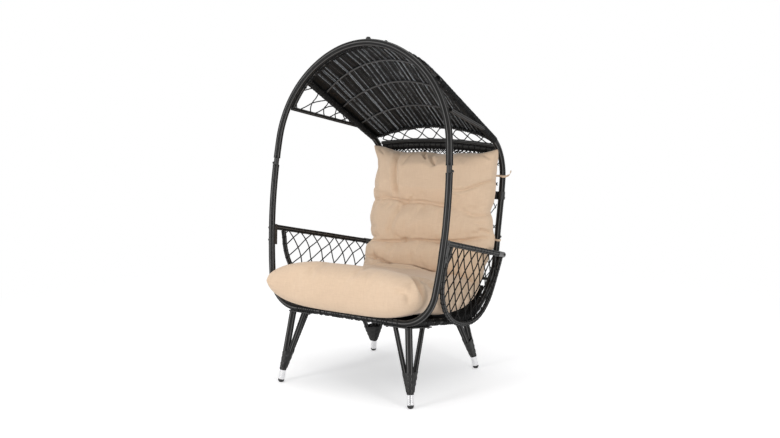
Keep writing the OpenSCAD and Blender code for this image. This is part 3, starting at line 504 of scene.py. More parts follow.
right_lower = np.concatenate([
    arc(BOTTOM_HALF, corner_rise, CORNER_R, -90, -CORNER_END),
    arc(SIDE_X, WAIST, SIDE_R, -CORNER_END, JOINT_ANGLE - BARE_ANGLE),
])
right_upper = np.concatenate([
    arc(SIDE_X, WAIST, SIDE_R, JOINT_ANGLE + BARE_ANGLE, SHOULDER_AT),
    arc(SHOULDER_X, SHOULDER_RISE, SHOULDER_R, SHOULDER_AT, CROWN_ANGLE),
])
hoop_lower = np.concatenate([mirrored(right_lower)[::-1], right_lower])
crown = arc(0, CROWN_RISE, CROWN_R, CROWN_ANGLE, 180 - CROWN_ANGLE)
hoop_upper = np.concatenate([right_upper, crown, mirrored(right_upper)[::-1]])
for node, path, seed in (("hoop_lower", hoop_lower, 1), ("hoop_upper", hoop_upper, 2)):
    wrapped(node, "", path, WRAPPED, 6, seed, DEPTHWAYS, ends=(0.9, 0.9), phase=0.5)

# Bare steel between the two wraps, with the seam of the joint in its middle
bare = Soup()
BARE_REACH = BARE_ANGLE * 1.3
BARE_RADIUS, SEAM_RADIUS = 12.5, 11.7
for sign in (1, -1):
    a = arc(SIDE_X, WAIST, SIDE_R, JOINT_ANGLE - BARE_REACH, JOINT_ANGLE + BARE_REACH, step=2.0)
    path = world(a * [sign, 1, 1])
    seam = abs(np.arange(len(path)) - (len(path) - 1) / 2) < 0.6
    radius = np.where(seam, SEAM_RADIUS, BARE_RADIUS)[:, None] / 1000 * np.ones(24)
    bare.tube(path, radius, np.arange(24) * math.pi / 12, np.linspace(0, 1, 25), DEPTHWAYS)
piece(bare, "hoop_joint_steel", STEEL, "dark_steel")

# ---- canopy frame
SLOPE = 19.6
SIN_SLOPE, COS_SLOPE = math.sin(math.radians(SLOPE)), math.cos(math.radians(SLOPE))
FALL = math.tan(math.radians(SLOPE))
ARCH_DEPTH, ARCH_IN = 29.0, 4.0
# Angles on the hoop's shoulder where the front arch's wrap and its lashing start
ARCH_START, ARCH_LASH_START = 24.0, 34.0
POST_HALF, POST_DEPTH, POST_JOINT = 355.0, 762.0, 960.0
SIDE_RISE, RAIL_DROP = 1458.0, 5.0
FRONT_HEIGHT, PEAK_HEIGHT, PEAK_DEPTH, HEIGHT_FALL = 149, 160, 190, 0.192
REAR_ARCH = 660.0
REAR_RAIL_HEIGHT, REAR_RAIL_DEPTH, REAR_RAIL_RISE = 24.0, 704.0, 1200.0


def rail_rise(depth):
    """Rise of the canopy's sides at a depth."""
    return SIDE_RISE - depth * FALL


def canopy_h(depth):
    """Height of the canopy's middle above its sides: up to a peak, then down to the rear."""
    depth = np.asarray(depth, float)
    turn = np.radians(90 * (depth - ARCH_DEPTH) / (PEAK_DEPTH - ARCH_DEPTH))
    front = FRONT_HEIGHT + (PEAK_HEIGHT - FRONT_HEIGHT) * np.sin(turn)
    return np.where(depth < PEAK_DEPTH, front, PEAK_HEIGHT - HEIGHT_FALL * (depth - PEAK_DEPTH))


def on_rail(depth):
    """Point on the middle line of the right side rail, before its bend."""
    return (POST_HALF, depth, rail_rise(depth) - RAIL_DROP)


def arc_radius(h):
    """Radius of an arc of height h between the two posts."""
    return (POST_HALF * POST_HALF + h * h) / (2 * h)


def arch(h, depth, rise, trim):
    """Arc of height h between the two posts, cut back by trim at both ends."""
    r = arc_radius(h)
    edge = math.degrees(math.asin(POST_HALF / r) - trim / r)
    return arc(0, rise + h - r, r, 90 - edge, 90 + edge, depth, 6.0)


def front_arch(start):
    """Line of the canopy's front arch, from an angle on one shoulder to the same on the other."""
    side = arc(SHOULDER_X, SHOULDER_RISE, SHOULDER_R - ARCH_IN, start, CROWN_ANGLE, ARCH_DEPTH)
    top = arc(0, CROWN_RISE, CROWN_R - ARCH_IN, CROWN_ANGLE, 180 - CROWN_ANGLE, ARCH_DEPTH)
    return np.concatenate([side, top, mirrored(side)[::-1]])


wrapped("canopy_front_arch", "", front_arch(ARCH_START), 26.0, 6, 3, DEPTHWAYS, phase=0.5)

RAIL_START, BEND_START, BEND_POINTS = 45.0, 620.0, 40
BEND_R = (POST_DEPTH - BEND_START) / (1 - SIN_SLOPE)
bend_depth = BEND_START - BEND_R * SIN_SLOPE
bend_rise = on_rail(BEND_START)[2] - BEND_R * COS_SLOPE
bend_turn = np.radians(np.linspace(90 - SLOPE, 0, BEND_POINTS))
rail_path = np.concatenate([
    line(on_rail(RAIL_START), on_rail(BEND_START)),
    np.stack([np.full(BEND_POINTS, POST_HALF), bend_depth + BEND_R * np.cos(bend_turn),
              bend_rise + BEND_R * np.sin(bend_turn)], 1),
    line((POST_HALF, POST_DEPTH, POST_JOINT + 1)),
])
for side, sign in SIDES:
    wrapped("canopy_rail", side, rail_path * [sign, 1, 1], WRAPPED, 6, 5 + sign, SIDEWAYS,
            ends=(0, 0.8), phase=0.5)

REAR_HEIGHT = float(canopy_h(REAR_ARCH)) - 2
REAR_TOP = rail_rise(REAR_ARCH) + float(canopy_h(REAR_ARCH)) - 2
rear_arch = arch(REAR_HEIGHT, REAR_ARCH, rail_rise(REAR_ARCH), trim=14)
wrapped("canopy_rear_arch", "", rear_arch, 12.0, 6, 8, DEPTHWAYS, step=7.0)
rear_rail = arch(REAR_RAIL_HEIGHT, REAR_RAIL_DEPTH, REAR_RAIL_RISE, 14)
wrapped("canopy_rear_rail", "", rear_rail, 18.0, 7, 9, DEPTHWAYS)
BAR = line((434.0, 40.0, 1303.0), (359.0, 516.0, 1268.0))
for side, sign in SIDES:
    wrapped("canopy_bar", side, BAR * [sign, 1, 1], 19.5, 7, 12 + sign, SIDEWAYS)

# ---- side tubes, seat and back rails
side_points = line(
    (355, 762, 960), (355, 757, 870), (355, 752, 780), (355, 748, 660), (350, 747, 590), (338, 742, 530),
    (322, 722, 460), (308, 690, 405), (297, 640, 365), (293, 580, 344), (302, 380, 350), (320, 10, 366.5))
for side, sign in SIDES:
    wrapped("side_tube", side, smooth(side_points * [sign, 1, 1], 6), WRAPPED, 6, 20 + sign, SIDEWAYS,
            ends=(0.8, 0), phase=0.5)
back_rail = arch(h=22.0, depth=718.0, rise=1180.0, trim=14)
wrapped("seat_rear_rail", "", level(284, 645, 352), 24.0, 8, 25, DEPTHWAYS)
wrapped("back_top_rail", "", back_rail, 18.0, 7, 26, DEPTHWAYS)
wrapped("back_mid_rail", "", level(313, 750, 960), 14.0, 6, 27, DEPTHWAYS)
wrapped("back_bottom_rail", "", level(328, 745, 540), 16.0, 7, 28, DEPTHWAYS)

# ---- arm rails and loops
PANEL_BASE, PANEL_TAPER, PANEL_FLARE = 303.0, -0.1, 0.2376


def on_panel(depth, rise):
    """Point of the right side panel, a flat sheet that spreads upwards and closes to the rear."""
    depth, rise = np.asarray(depth, float), np.asarray(rise, float)
    return np.stack([PANEL_BASE + PANEL_TAPER * depth + PANEL_FLARE * rise, depth, rise], -1)


ARM_START, ARM_HIGH, ARM_FALL, ARM_LENGTH = 15.5, 731, 67, 779.5
RAIL, LOOP = 24.0, 22.0
SLEEVE_START = 680.0


def arm_rise(depth):
    """Rise of the arm rails at a depth."""
    return ARM_HIGH - ARM_FALL * (np.asarray(depth, float) - ARM_START) / ARM_LENGTH


def on_arm(depth):
    """Point on the middle line of the right arm rail."""
    return on_panel(depth, arm_rise(depth))


LOOP_MID, LOOP_LOW = 540.0, 331.0
LOOP_FRONT, LOOP_REAR = (463.0, 319.0), (212.0, 159.0)
LOOP_REAR_RISE, LOOP_REAR_UP, LOOP_REAR_TOP, LOOP_POWER = 490.0, 553.0, 742.0, 2.3
LOOP_DROP = RAIL / 2 - 1
# Depth at which the loop leaves the rail, and two rises on its straight start
LOOP_START, LOOP_STRAIGHT = 79, (695, 672)


def loop_line(inset):
    """The loop below the right arm rail, moved inwards by inset."""
    front = (LOOP_FRONT[0] - inset, LOOP_FRONT[1] - inset)
    rear = (LOOP_REAR[0] - inset, LOOP_REAR[1] - inset)
    up = LOOP_REAR_UP - inset
    top = arm_rise(LOOP_REAR_TOP) - LOOP_DROP - LOOP_REAR_RISE
    a = np.radians(np.arange(0, 91, 9))
    b = np.radians(np.arange(15, 91, 15))
    k = np.arange(1, 5) / 4
    depth = np.concatenate([
        np.full(3, LOOP_START + inset), LOOP_MID - front[0] * np.cos(a),
        LOOP_MID + rear[0] * (1 - np.cos(b) ** LOOP_POWER) ** (1 / LOOP_POWER),
        LOOP_MID + rear[0] * np.sqrt(1 - (top / up * k) ** 2)])
    rise = np.concatenate([
        [arm_rise(84) - LOOP_DROP, *LOOP_STRAIGHT], LOOP_LOW + LOOP_FRONT[1] - front[1] * np.sin(a),
        LOOP_REAR_RISE - rear[1] * np.cos(b), LOOP_REAR_RISE + top * k])
    return on_panel(depth, rise)


side_loop = smooth(loop_line(0), 6)
for side, sign in SIDES:
    flip = [sign, 1, 1]
    rail = line(on_panel(ARM_START, ARM_HIGH), on_arm(SLEEVE_START)) * flip
    wrapped("arm_rail", side, rail, RAIL + 1.6, 6, 30 + sign, SIDEWAYS, phase=0.5)
    wrapped("side_loop", side, side_loop * flip, LOOP + 1.0, 7, 34 + sign, SIDEWAYS)

# ---- cushion
# One long pad: a thick front roll, the seat, the fold, and a back of three panels.
# Each station along its middle line: depth, rise, half width to the left and right,
# thickness to the upper (front) side and to the lower (rear) side.
STATIONS = np.array([
    (-72, 478, 428, 326, 88, 106),
    (-30, 480, 450, 362, 90, 108),
    (20, 480, 427, 389, 88, 106),
    (100, 476, 386, 384, 82, 98),
    (185, 470, 350, 374, 74, 90),
    (260, 457, 343, 378, 74, 85),
    (340, 450, 342, 380, 76, 84),
    (430, 456, 342, 380, 74, 82),
    (500, 470, 342, 378, 68, 80),
    (560, 496, 341, 374, 60, 74),
    (598, 542, 340, 368, 60, 58),
    (620, 600, 338, 366, 70, 48),
    (638, 655, 342, 378, 73, 45),
    (652, 706, 340, 374, 73, 45),
    (664, 800, 350, 372, 73, 45),
    (670, 898, 340, 362, 73, 45),
    (675, 1000, 346, 371, 73, 45),
    (676, 1100, 340, 366, 72, 44),
    (673, 1188, 348, 370, 68, 42),
], float)
CUSHION_STEP = 9.0


def hermite(x, xs, ys):
    """Smooth curve through stations, without overshoot (monotone between them)."""
    h = np.diff(xs)
    slope = np.diff(ys, axis=0) / h[:, None]
    d = np.zeros_like(ys)
    same = slope[:-1] * slope[1:] > 0
    w1, w2 = (2 * h[1:] + h[:-1])[:, None], (h[1:] + 2 * h[:-1])[:, None]
    with np.errstate(divide="ignore", invalid="ignore"):
        d[1:-1] = np.where(same, (w1 + w2) / (w1 / slope[:-1] + w2 / slope[1:]), 0)
    d[0], d[-1] = slope[0], slope[-1]
    i = np.clip(np.searchsorted(xs, x) - 1, 0, len(h) - 1)
    t = ((x - xs[i]) / h[i])[:, None]
    hi = h[i][:, None]
    return ((1 + 2 * t) * (1 - t) ** 2 * ys[i] + t * (1 - t) ** 2 * hi * d[i]
            + t * t * (3 - 2 * t) * ys[i + 1] + t * t * (t - 1) * hi * d[i + 1])


middle = smooth_flat(STATIONS[:, :2])
run = lengths(middle)
STATION_RUN = np.array([run[np.argmin(np.linalg.norm(middle - q, axis=1))] for q in STATIONS[:, :2]])
LENGTH = run[-1]


# Seams across the pad, as (x, run) points: behind the roll, the fold, and the two tufted channels
SEAMS = (
    ((-340, 258), (0, 262), (200, 256), (340, 250)),
    ((-340, 748), (-259, 745), (-215, 736), (-124, 710), (-22, 713), (60, 700), (142, 684), (340, 672)),
    ((-340, 834), (-149, 843), (-83, 856), (-4, 864), (113, 868), (183, 876), (245, 886), (298, 900),
     (365, 916)),
    ((-340, 1064), (-233, 1076), (-167, 1074), (-105, 1062), (-31, 1067), (113, 1060), (203, 1043),
     (282, 1018), (333, 1023), (365, 1040)),
)
TUFT_LINES = (-112.0, 108.0)
TUFTS = ((-112, 1061), (-92, 856), (108, 1060), (108, 867))
# Where the pad's left and right edges stand out or pull in: run, mm
EDGES = (
    ((0, 0), (825, 0), (845, -16), (858, -36), (872, -16), (905, -3), (978, 2), (1045, 0), (1066, -4),
     (1085, 2), (1119, 4), (1180, -8), (1232, -17), (1280, -10), (1320, 8), (1345, 20), (1358, 24)),
    ((0, 0), (840, 0), (870, 16), (925, 16), (960, 4), (1000, 0), (1030, -8), (1045, -15), (1062, -8),
     (1090, 0), (1200, -4), (1250, 2), (1320, 0), (1345, -4), (1358, -8)),
)
# Folds and pulls of the cover: width, depth, then (x, run) points
CREASES = (
    (6, 11, (-322, 1064), (-233, 1076), (-167, 1074), (-105, 1062), (-31, 1067), (60, 1062), (150, 1052)),
    (6, 12, (-300, 836), (-149, 843), (-83, 856), (-4, 864), (113, 868), (245, 886), (298, 900), (361, 916)),
    (7, 5, (240, 1030), (282, 1016), (333, 1023), (368, 1043)),
    (7, 12, (-300, 752), (-259, 747), (-215, 737), (-124, 710), (-22, 713), (60, 700), (150, 683)),
    (14, 20, (-178, 1352), (-172, 1287), (-166, 1195), (-161, 1150), (-154, 1085)),
    (15, 12, (-130, 1050), (-144, 993), (-162, 942), (-174, 885)),
    (15, 7, (-160, 836), (-167, 765)),
    (6, 14, (-44, 1357), (-34, 1345), (-2, 1318)),
    (8, 12, (8, 1357), (25, 1325), (64, 1274)),
    (7, 6, (-100, 1357), (-112, 1330)),
    (7, 5, (120, 1357), (135, 1322)),
    (7, 5, (-318, 1346), (-262, 1322)),
    (7, 6, (300, 1340), (346, 1304)),
    (7, 14, (168, 1132), (225, 1140), (274, 1160), (323, 1185), (376, 1203)),
    (6, 5, (180, 1140), (232, 1157)),
    (8, 15, (318, 948), (376, 940)),
    (7, 5, (290, 975), (370, 979)),
    (8, 6, (285, 925), (372, 934)),
    (7, 5, (225, 850), (300, 862), (370, 858)),
    (10, 26, (262, 150), (312, 108), (346, 88), (370, 80), (392, 84)),
    (6, 5, (334, 104), (350, 150), (342, 196)),
    (5, 3, (195, 0), (275, 2), (330, 22)),
    (7, 9, (286, 8), (330, 20), (352, 27)),
    (7, 4, (330, 70), (340, 40), (350, 27)),
    (6, 4, (-105, 1062), (-58, 1088)),
    (6, 4, (-105, 1062), (-150, 1040)),
    (6, 4, (-95, 858), (-50, 880)),
    (6, 3, (-95, 858), (-140, 872)),
    (6, 3, (113, 868), (160, 850)),
    (16, 12, (-262, 752), (-240, 752)),
    (9, 5, (-240, 640), (-120, 620), (60, 640)),
)
# Round hollows at the tufts and at the roll's corner: x, run, width, depth
PITS = (*((*tuft, 12, depth) for tuft, depth in zip(TUFTS, (12, 13, 12, 13))), (350, 27, 9, 5))


def seam_run(seam, x):
    """The run of a seam at x across the pad."""
    return np.interp(x, *np.array(SEAMS[seam], float).T)


def cushion_side(p, x, u, side):
    """Thickness of the pad at run p and x across: side 0 to the front, 1 to the rear."""
    full = hermite(p, STATION_RUN, STATIONS[:, 4 + side:5 + side])[:, 0]
    # it rounds off at the front of its roll, at its top edge and at its sides
    front_end = np.sqrt(1 - (1 - np.clip(p / (92 if side == 0 else 60), 0, 1)) ** 2)
    top_end = np.sqrt(1 - (1 - np.clip((LENGTH - p) / 70, 0, 1)) ** 2.4)
    rim = np.sqrt(np.clip(1 - abs(u) ** (5 if side == 0 else 4), 0, 1))
    t = full * front_end * top_end * rim
    if side == 0:
        # the seams sink in, deeper near the tufts, and the top channel less on its right
        near = sum(np.exp(-((x - c) / 50) ** 2) for c in TUFT_LINES)
        right = np.clip((x - 120) / 120, 0, 1)
        channels = ((26, 20), (24, 20), (27 + 9 * near, 16), ((24 + 10 * near) * (1 - 0.6 * right), 16))
        sinks = [depth * np.exp(-abs(p - seam_run(seam, x)) / width)
                 for seam, (depth, width) in enumerate(channels)]
        t -= np.max(sinks, 0) * np.clip(rim * 1.4, 0, 1) * np.clip(front_end * top_end * 1.5, 0, 1)
    return np.maximum(t, 0.0)


def both_sides(front, rear):
    """The front's points in one list, then the rear's without the edge that they share."""
    k = front.shape[-1]
    return np.concatenate([front.reshape(-1, k), rear[1:-1, 1:-1].reshape(-1, k)])


def cushion_mesh():
    """Points, faces, their place on the cover (x, run), and which points are on the front."""
    rows, cols = int(LENGTH / CUSHION_STEP), 78
    p = np.linspace(0, LENGTH, rows)
    u = np.linspace(-1, 1, cols)
    mid = points_at(p, run, middle)
    ahead = unit(np.gradient(mid, axis=0))
    out = np.stack([-ahead[:, 1], ahead[:, 0]], 1)
    halves = hermite(p, STATION_RUN, STATIONS[:, 2:4])
    halves += np.stack([np.interp(p, *np.array(edge, float).T) for edge in EDGES], 1)
    x = np.where(u < 0, halves[:, :1], halves[:, 1:]) * u
    pp, uu = np.broadcast_to(p[:, None], x.shape), np.broadcast_to(u, x.shape)
    # the top edge sags between its corners
    top = np.clip((pp - (LENGTH - 260)) / 260, 0, 1) ** 3
    sag = (24 * (1 - uu ** 4) + 4 * np.sin(x / 38)) * top
    sheets = []
    for side, sign in ((0, 1), (1, -1)):
        t = cushion_side(pp.ravel(), x.ravel(), uu.ravel(), side).reshape(x.shape)
        depth = mid[:, :1] + out[:, :1] * t * sign
        rise = mid[:, 1:] + out[:, 1:] * t * sign - sag
        sheets.append(np.stack([x, depth, rise], -1))
    points = both_sides(*sheets)
    n = rows * cols
    front = np.arange(n).reshape(rows, cols)
    back = front.copy()
    back[1:-1, 1:-1] = np.arange(n, len(points)).reshape(rows - 2, cols - 2)
    faces = corners(front).reshape(-1, 4).tolist() + corners(back).reshape(-1, 4)[:, ::-1].tolist()
    at = np.stack([x, pp], -1)
    return points, faces, both_sides(at, at), np.arange(len(points)) < n


def seam_weight(at, is_front):
    """How firmly each point is held in the simulation: seams and the rear side."""
    x, p = at.T
    hold = np.where(is_front, 0.0, 1.0)
    for seam, firm in enumerate((0.85, 0.85, 0.9, 0.9)):
        hold = np.maximum(hold, np.where(abs(p - seam_run(seam, x)) < CUSHION_STEP * 0.62, firm, 0))
    return hold


CLOTH = {
    "quality": 6, "mass": 0.25, "tension_stiffness": 18, "compression_stiffness": 18, "shear_stiffness": 6,
    "bending_stiffness": 0.35, "tension_damping": 8, "compression_damping": 8, "shear_damping": 8,
    "use_pressure": True, "uniform_pressure_force": 4.0, "shrink_min": -0.035, "vertex_group_mass": "held",
}
CLOTH_FRAMES, CLOTH_MOVE = 20, 0.024


def evaluated(o):
    """The object with its modifiers' result."""
    return o.evaluated_get(bpy.context.evaluated_depsgraph_get())


def simulate(o, weights):
    """Blows the pad up as cloth, holding the weighted points, and keeps the result.
    No point moves further than CLOTH_MOVE, in metres."""
    mesh = o.data
    start = np.empty(len(mesh.vertices) * 3, np.float32)
    mesh.vertices.foreach_get("co", start)
    group = o.vertex_groups.new(name="held")
    for w in np.unique(weights[weights > 0]):
        group.add(np.nonzero(weights == w)[0].tolist(), float(w), "REPLACE")
    mod = o.modifiers.new("cloth", "CLOTH")
    for key, value in CLOTH.items():
        setattr(mod.settings, key, value)
    mod.settings.effector_weights.gravity = 0
    mod.collision_settings.use_collision = False
    mod.point_cache.frame_start, mod.point_cache.frame_end = 1, CLOTH_FRAMES
    for f in range(1, CLOTH_FRAMES + 1):
        bpy.context.scene.frame_set(f)
    end = np.empty_like(start)
    evaluated(o).data.vertices.foreach_get("co", end)
    o.modifiers.remove(mod)
    bpy.context.scene.frame_set(1)
    move = (end - start).reshape(-1, 3)
    far = np.linalg.norm(move, axis=1, keepdims=True)
    move *= np.minimum(1, CLOTH_MOVE / np.maximum(far, 1e-9))
    mesh.vertices.foreach_set("co", (start.reshape(-1, 3) + move).ravel())
    mesh.update()
    o.vertex_groups.clear()


def subdivide(o):
    """Smooths the mesh once and keeps the result."""
    mod = o.modifiers.new("subdivide", "SUBSURF")
    mod.levels = mod.render_levels = 1
    got = bpy.data.meshes.new_from_object(evaluated(o))
    o.modifiers.clear()
    old, o.data = o.data, got
    bpy.data.meshes.remove(old)


def pad_points(mesh):
    """The pad's points, their place on the cover (x, run) in mm, and 1 for those on the front."""
    n = len(mesh.vertices)
    co, at, front = (np.empty(n * k, np.float32) for k in (3, 2, 1))
    mesh.vertices.foreach_get("co", co)
    mesh.attributes["at"].data.foreach_get("vector", at)
    mesh.attributes["front"].data.foreach_get("value", front)
    return co.reshape(-1, 3), at.reshape(-1, 2) * 1000, front


def crease_line(points):
    """Close points along a fold: a curve, or a straight line if it has two points."""
    points = np.array(points, float)
    if len(points) > 2:
        return smooth_flat(points)
    return spaced(np.pad(points, ((0, 0), (0, 1))), 2.0)[:, :2]


def crease(o):
    """Presses the cover's folds and pulls into the pad, with a soft swell beside each."""
    mesh = o.data
    co, at, front = pad_points(mesh)
    normal = np.empty(len(co) * 3, np.float32)
    mesh.vertices.foreach_get("normal", normal)
    push = np.zeros(len(co))
    for width, depth, *points in CREASES:
        q = crease_line(points)
        reach = width * 4
        lo, hi = q.min(0) - reach, q.max(0) + reach
        near = np.nonzero(((at > lo) & (at < hi)).all(1))[0]
        gap = np.linalg.norm(at[near, None] - q[None, ::2], axis=2)
        share = gap.argmin(1) / max(1, len(q[::2]) - 1)
        gap = gap.min(1)
        taper = np.clip(np.minimum(share, 1 - share) * 5 + 0.25, 0, 1)
        swell = 0.22 * np.exp(-((gap - 2.0 * width) / width) ** 2)
        push[near] += taper * depth * (-np.exp(-(gap / width) ** 1.6) + swell)
    for x, p, width, depth in PITS:
        push -= depth * np.exp(-np.linalg.norm(at - (x, p), axis=1) / width)
    x, p = at.T
    push += 1.3 * np.sin(x / 47 + 1.1 * np.sin(p / 61)) * np.sin(p / 39 + 0.9 * np.sin(x / 83))
    co = co + normal.reshape(-1, 3) * (push * front / 1000)[:, None]
    co[:, 0] = beside_nets(co)
    mesh.vertices.foreach_set("co", co.astype(np.float32).ravel())
    mesh.update()


def beside_nets(co):
    """The x of the pad's points, where its sides press flat against the side nets."""
    y, z = co[:, 1] * 1000 + DEPTH_CENTRE, co[:, 2] * 1000
    depth = y * math.cos(LEAN) - z * math.sin(LEAN)
    rise = y * math.sin(LEAN) + z * math.cos(LEAN)
    room = np.clip(np.minimum(depth - 95, 742 - depth) / 25, 0, 1) * (rise < arm_rise(depth) + 6)
    start = on_panel(depth, rise)[:, 0] - 22
    across = abs(co[:, 0]) * 1000
    over = across - start
    pressed = start + 16 * (1 - np.exp(-np.maximum(over, 0) / 16))
    return np.where(over > 0, np.sign(co[:, 0]) * (pressed * room + across * (1 - room)) / 1000, co[:, 0])


def make_cushion():
    """The one pad: a closed mesh, blown up as cloth, then subdivided and creased."""
    points, faces, at, is_front = cushion_mesh()
    mesh = bpy.data.meshes.new("cushion")
    mesh.from_pydata(world(points).tolist(), [], faces)
    mesh.materials.append(FABRIC)
    mesh.polygons.foreach_set("use_smooth", [True] * len(mesh.polygons))
    layer = mesh.attributes.new("at", "FLOAT2", "POINT")
    layer.data.foreach_set("vector", (at / 1000).astype(np.float32).ravel())
    layer = mesh.attributes.new("front", "FLOAT", "POINT")
    layer.data.foreach_set("value", is_front.astype(np.float32))
    mesh.update()
    o = placed("cushion", mesh)
    simulate(o, seam_weight(at, is_front))
    subdivide(o)
    crease(o)
    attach(o, "root")
    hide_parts("cushion_seat", "cushion_back")
    return o


cushion = make_cushion()

# ---- woven sheets


def woven(place, half, rows, cols, pitch, cell, height, thick, seed):
    """Sheet of wicker woven from thin wefts over wide cells. place(r, c, out) gives points:
    r along the sheet in mm, c across it in mm, out the distance from its middle."""
    rng = np.random.default_rng(seed)
    r = np.linspace(rows[0], rows[1], int((rows[1] - rows[0]) / pitch * 4) + 1)
    c = np.linspace(-half, half, cols)
    rr, cc = np.meshgrid(r, c, indexing="ij")
    weft = np.floor(rr / pitch)
    lift = np.cos(math.pi * (rr / pitch - weft - 0.5)) ** 0.6
    over = np.cos(math.pi * cc / cell + math.pi * (weft % 2))
    vary = rng.uniform(0.7, 1.15, int((rows[1] - rows[0]) / pitch) + 3)[(weft - weft.min()).astype(int)]
    out = height * vary * lift * (0.35 + 0.65 * np.tanh(1.5 * over))
    top = place(rr, cc, out + thick / 2)
    low = place(rr, cc, np.minimum(out - 0.3 * height * lift, out) - thick / 2)
    u = np.linspace(0, 2 * half / cell, cols)
    soup = Soup()
    for points, turn in ((top, 1), (low, -1)):
        soup.grid(points[:, ::turn], u[::turn], r / 1000)
    return soup


WEAVE_LIFT, WEAVE_HALF, WEAVE_FROM, WEAVE_TO = 6.3, 343.0, 44.0, 664.0


def canopy_point(depth, across, out):
    """Point of the canopy at a depth; across is -1 and 1 at its sides, out is above its middle."""
    depth, across = np.asarray(depth, float), np.asarray(across, float)
    h = canopy_h(depth)
    r = arc_radius(h)
    reach = r + WEAVE_LIFT + out
    a = np.arcsin(WEAVE_HALF / (r + WEAVE_LIFT)) * across
    rise = rail_rise(depth) + h - r + reach * np.cos(a)
    return np.stack([reach * np.sin(a), depth + 0 * reach, rise], -1)


def canopy_weave():
    """The canopy's sheet; it reaches a little past its sides, to the side rails."""
    def place(r, c, out):
        return world(canopy_point(r, c / 400, out))

    soup = woven(place, half=418.0, rows=(WEAVE_FROM, WEAVE_TO), cols=210, pitch=6.5, cell=16.5,
                 height=1.1, thick=1.6, seed=40)
    piece(soup, "canopy_weave_bed", WEAVE, "wicker", "canopy_weave")


# Pairs, distance from the sheet's middle in mm, and diameters on both faces in metres
WARP_PAIRS, WARP_OUT, WARP_INNER, WARP_OUTER = 26, 2.6, 0.0042, 0.0048


def canopy_warps():
    """Pairs of round strands that run from the front arch to the rear arch, on both faces.
    Each dips under the wefts here and there, so the pairs look broken."""
    rng = np.random.default_rng(41)
    soup = Soup()
    for k in range(WARP_PAIRS):
        across = -0.955 + (k + 0.5) * 1.91 / WARP_PAIRS + rng.uniform(-0.007, 0.007)
        up = (1, 0, 0.2) if abs(across) < 0.5 else (0, 0.3, 1)
        for pair in (-1, 1):
            for face in (-1, 1):
                start = WEAVE_FROM + rng.uniform(2, 34 if face < 0 else 8)
                depth = np.linspace(start, WEAVE_TO - rng.uniform(1, 5), 110)
                wave = 0.0011 * np.sin(depth / rng.uniform(40, 90) + rng.uniform(0, 7))
                dip = np.clip((np.sin(depth / rng.uniform(28, 60) + rng.uniform(0, 7)) - 0.72) * 5, 0, 1)
                out = face * (WARP_OUT + 0.4 * np.sin(depth / 17 + k) - WARP_OUT * dip)
                path = world(canopy_point(depth, across + pair * 0.0092 + wave, out))
                soup.wire(path, WARP_INNER if face < 0 else WARP_OUTER, 7, up, rng.integers(0, 90))
    piece(soup, "canopy_warps", WARP, "wicker")


canopy_weave()
canopy_warps()


def band(soup, centre, axis, up, radii, width, thick, start, end, tone):
    """Flat strip bent round an axis from one angle to another. radii gives its distance at
    both ends and its middle."""
    steps = 14
    a = np.radians(np.linspace(start, end, steps))[:, None]
    f = np.linspace(0, 1, steps)
    axis = unit(np.asarray(axis, float))
    e1 = unit(np.asarray(up, float) - np.dot(up, axis) * axis)
    ring = np.cos(a) * e1 + np.sin(a) * np.cross(axis, e1)
    path = centre + np.interp(f, [0, 0.5, 1], radii)[:, None] * ring
    w, t = width / 2, thick / 2
    section = [(-w, -t), (-w * 0.6, t), (0, t * 1.35), (w * 0.6, t), (w, -t), (0, -t)]
    soup.tape(path, axis, ring, section, tone, f * 0.05)


def lashing(soup, path, radius, pitch, width, seed, start, end, up=UPWARDS, belly=0.0,
            skip=0.0, thick=1.5, uneven=0.15):
    """Bands wound round a line at a pitch, from one angle to another. belly is how far they
    stand off in the middle, skip the share left out, uneven how much their width varies."""
    rng = np.random.default_rng(seed)
    path = world(spaced(path, pitch))
    ahead = np.gradient(path, axis=0)
    for q, t in zip(path[1:-1], ahead[1:-1]):
        if rng.random() < skip:
            continue
        tilt = t + rng.normal(0, 0.1, 3) * np.linalg.norm(t)
        r = (radius + rng.uniform(-0.5, 0.6)) / 1000
        radii = (r, r + belly * rng.uniform(0.4, 1) / 1000, r)
        wide = width * rng.uniform(1 - uneven, 1 + uneven) / 1000
        band(soup, q, tilt, up, radii, wide, thick / 1000, start, end, int(rng.integers(0, 90)))
    return soup


# The weave's edges wind round the side rails and the two arches
for side, sign in SIDES:
    hem = line(on_rail(60), on_rail(640)) * [sign, 1, 1]
    soup = lashing(Soup(), hem, radius=16.3, pitch=7.0, width=7.4, seed=50 + sign, start=-180, end=176,
                   up=SIDEWAYS, belly=1.0)
    piece(soup, f"canopy_hem_{side}", WEAVE, "wicker")
loops = arch(REAR_HEIGHT, REAR_ARCH, rail_rise(REAR_ARCH), 22)
soup = lashing(Soup(), loops, radius=8.2, pitch=12.0, width=6.0, seed=55, start=-170, end=170, thick=1.6)
piece(soup, "canopy_rear_lashings", WEAVE, "wicker")
soup = lashing(Soup(), front_arch(ARCH_LASH_START), radius=14.6, pitch=10.0, width=7.0, seed=56,
               start=-35, end=205, up=DOWNWARDS, belly=1.2, skip=0.25)
piece(soup, "canopy_front_lashings", WEAVE, "wicker")

# ---- nets
# Diameters of the round strands, in metres
CANOPY_STRAND, SIDE_STRAND, BACK_STRAND, LACE_STRAND = 5.6 / 1000, 0.0058, 0.0045, 0.0048
CANOPY_NET_UP = (0.3, 0.2, 0.9)


